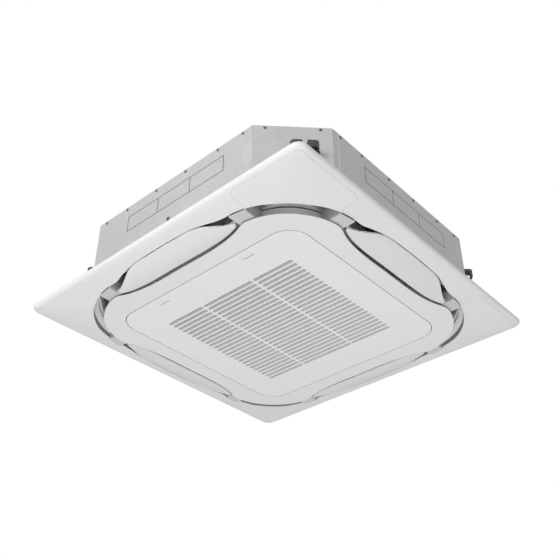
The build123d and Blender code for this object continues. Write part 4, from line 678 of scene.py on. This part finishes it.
# %% The coil's middle line
def coil_line(reach, corner, end, step):
    """Points and outward directions along a rounded square, open at one corner."""
    legs = []
    flat = reach - corner
    for quarter in range(4):
        turn = Matrix.Rotation(-quarter * math.pi / 2, 3, "Z")
        start = -end if quarter == 0 else -flat
        stop = end if quarter == 3 else flat
        count = max(2, round((stop - start) / step))
        for k in range(count + (quarter == 3)):
            along_leg = start + (stop - start) * k / count
            legs.append((turn @ Vector((along_leg, reach, 0)), turn @ Vector((0, 1, 0))))
        if quarter < 3:
            bend = round(corner * math.pi / 2 / step)
            for k in range(bend):
                a = math.pi / 2 * (1 - k / bend)
                out = Vector((math.cos(a), math.sin(a), 0))
                legs.append((turn @ (Vector((flat, flat, 0)) + out * corner), turn @ out))
    return legs


coil_reach, coil_bend, coil_stop = 323.0, 52.0, 231.0
coil_floor, coil_roof, coil_depth = 62.0, 232.0, 40.0
fin_pitch = 3.0
fin_line = coil_line(coil_reach, coil_bend, coil_stop, fin_pitch)
print("fins:", len(fin_line))

# %% One fin, then the whole stack with Geometry Nodes
def fin_shape():
    """A corrugated plate: Z is outwards, X along the line and Y up."""
    half_high, half_thick, folds, wave = (coil_roof - coil_floor) / 2, 0.12, 6, 0.45
    verts, faces = [], []
    for k in range(folds + 1):
        out = coil_depth * (k / folds - 0.5)
        shift = wave if k % 2 else -wave
        for x, y in ((-1, -1), (1, -1), (1, 1), (-1, 1)):
            verts.append(((shift + x * half_thick) * MM, y * half_high * MM, out * MM))
    for k in range(folds):
        near, far = 4 * k, 4 * (k + 1)
        faces += [(near + i, near + (i + 1) % 4, far + (i + 1) % 4, far + i) for i in range(4)]
    faces += [(3, 2, 1, 0), (4 * folds, 4 * folds + 1, 4 * folds + 2, 4 * folds + 3)]
    return mesh_object("one_fin", verts, faces)


one_fin = fin_shape()
fin_middle = (coil_floor + coil_roof) / 2
fin_places = [
    ((p + Vector((0, 0, fin_middle))) * MM, out, out.cross(Vector((0, 0, 1)))) for p, out in fin_line]
fins = copies_on_points("coil_fin_stack", fin_places, one_fin, fin_metal)
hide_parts("coil_fins")
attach(fins, "root")
bpy.data.objects.remove(one_fin)
print("fin faces:", len(fins.data.polygons))

# %% Tubes through the fins
def tube_mesh(name, lines, radius, sides, material):
    """Round tubes along open lines, as one mesh."""
    curve = bpy.data.curves.new(name, "CURVE")
    curve.dimensions = "3D"
    curve.bevel_depth = radius
    curve.bevel_resolution = (sides - 4) // 2
    curve.use_fill_caps = True
    for line in lines:
        spline = curve.splines.new("POLY")
        spline.points.add(len(line) - 1)
        for point, place in zip(spline.points, line):
            point.co = (*place, 1.0)
    curve.materials.append(material)
    holder = bpy.data.objects.new(name, curve)
    bpy.context.scene.collection.objects.link(holder)
    made = flatten(holder, name)
    made.data.shade_smooth()
    return made


tube_lines = []
tube_rows, tube_radius, tube_step, tube_sides = 6, 4.0, 14.0, 10
row_pitch = (coil_roof - coil_floor) / tube_rows
for column in (-coil_depth / 4, coil_depth / 4):
    for row in range(tube_rows):
        level = coil_floor + (row + 0.5) * row_pitch
        tube_lines.append([(p + out * column + Vector((0, 0, level))) * MM
                           for p, out in coil_line(coil_reach, coil_bend, coil_stop, tube_step)])
tubes = tube_mesh("coil_tubes", tube_lines, tube_radius * MM, tube_sides, copper)
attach(tubes, "root")
print("tubes:", len(tube_lines))

# %% [markdown]
# ## Screws
# Self-tapping screws close the casing: six on each side, two on each cut
# corner, and a larger one near the foot of each side. Their heads are plain in
# the model. Here a head is a turned disc, and Booleans cut its cross. Geometry
# Nodes put a copy at each point and turn it to face outwards.

# %% Turned shapes
def lathe(name, profile, segments):
    """A closed turned mesh about Z from (radius, height) points."""
    bm = bmesh.new()
    rows = []
    for radius, height in profile:
        if radius == 0:
            rows.append([bm.verts.new((0, 0, height))])
            continue
        angles = [2 * math.pi * k / segments for k in range(segments)]
        rows.append([bm.verts.new((radius * math.cos(a), radius * math.sin(a), height)) for a in angles])
    for low, high in zip(rows, rows[1:]):
        for k in range(segments):
            corner = [low[k % len(low)], low[(k + 1) % len(low)],
                      high[(k + 1) % len(high)], high[k % len(high)]]
            unique = list(dict.fromkeys(corner))
            if len(unique) > 2:
                bm.faces.new(unique)
    bmesh.ops.recalc_face_normals(bm, faces=bm.faces)
    mesh = bpy.data.meshes.new(name)
    bm.to_mesh(mesh)
    bm.free()
    return mesh


head_sides = 20
print("a turned head has", head_sides, "sides")

# %% A cross-recess screw head
def screw_head(name, radius, height):
    """A domed head that faces +Z, with a cross cut into its top."""
    head = bpy.data.objects.new(name, lathe(name, [
        (0, 0), (radius, 0), (radius, height * 0.35), (radius * 0.93, height * 0.7),
        (radius * 0.72, height * 0.93), (radius * 0.45, height), (0, height)], head_sides))
    bpy.context.scene.collection.objects.link(head)
    cutters = []
    for turn in (0, 1):
        bm = bmesh.new()
        bmesh.ops.create_cube(bm, size=1.0)
        long, thin = radius * 1.1, radius * 0.24
        size = (long, thin, height) if turn else (thin, long, height)
        bmesh.ops.scale(bm, vec=size, verts=bm.verts)
        bmesh.ops.translate(bm, vec=(0, 0, height), verts=bm.verts)
        mesh = bpy.data.meshes.new("cross")
        bm.to_mesh(mesh)
        bm.free()
        cutter = bpy.data.objects.new("cross", mesh)
        bpy.context.scene.collection.objects.link(cutter)
        cut = head.modifiers.new("cross", "BOOLEAN")
        cut.operation, cut.object = "DIFFERENCE", cutter
        cutters.append(cutter)
    made = flatten(head, name)
    for cutter in cutters:
        bpy.data.objects.remove(cutter)
    return made


small_head = screw_head("small_head", 4.0 * MM, 2.0 * MM)
large_head = screw_head("large_head", 5.5 * MM, 2.6 * MM)
print("screw head faces:", len(small_head.data.polygons))

# %% Casing screws
def face_places(angle, reach, spots):
    """Points on a wall that faces `angle`, from (along, height) in millimetres."""
    out = Vector((math.cos(angle), math.sin(angle), 0))
    side = Vector((-math.sin(angle), math.cos(angle), 0))
    return [(out * reach * MM + side * a * MM + Vector((0, 0, z * MM)), out, side) for a, z in spots]


corner_cut, screw_level, cut_step = 134.5, 238.5, 66
top_steps, foot_spot = (55, 170, 255), (4, 113)
cut_reach = (2 * wall - corner_cut) / math.sqrt(2)
top_row = [(side * step, screw_level) for step in top_steps for side in (1, -1)]
cut_row = [(cut_step, screw_level), (-cut_step, screw_level)]
screw_places = []
for quarter in range(4):
    screw_places += face_places(quarter * math.pi / 2, wall, top_row)
    screw_places += face_places((quarter + 0.5) * math.pi / 2, cut_reach, cut_row)
screws = copies_on_points("casing_screw_heads", screw_places, small_head, screw_metal)
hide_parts("casing_screws")
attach(screws, "root")
foot_places = [
    p for quarter in range(4) for p in face_places(quarter * math.pi / 2, wall, [foot_spot])]
foot_screws = copies_on_points("foot_screws", foot_places, large_head, screw_metal)
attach(foot_screws, "root")
print("screws:", len(screw_places), "and", len(foot_places))
for spare in (small_head, large_head):
    bpy.data.objects.remove(spare)
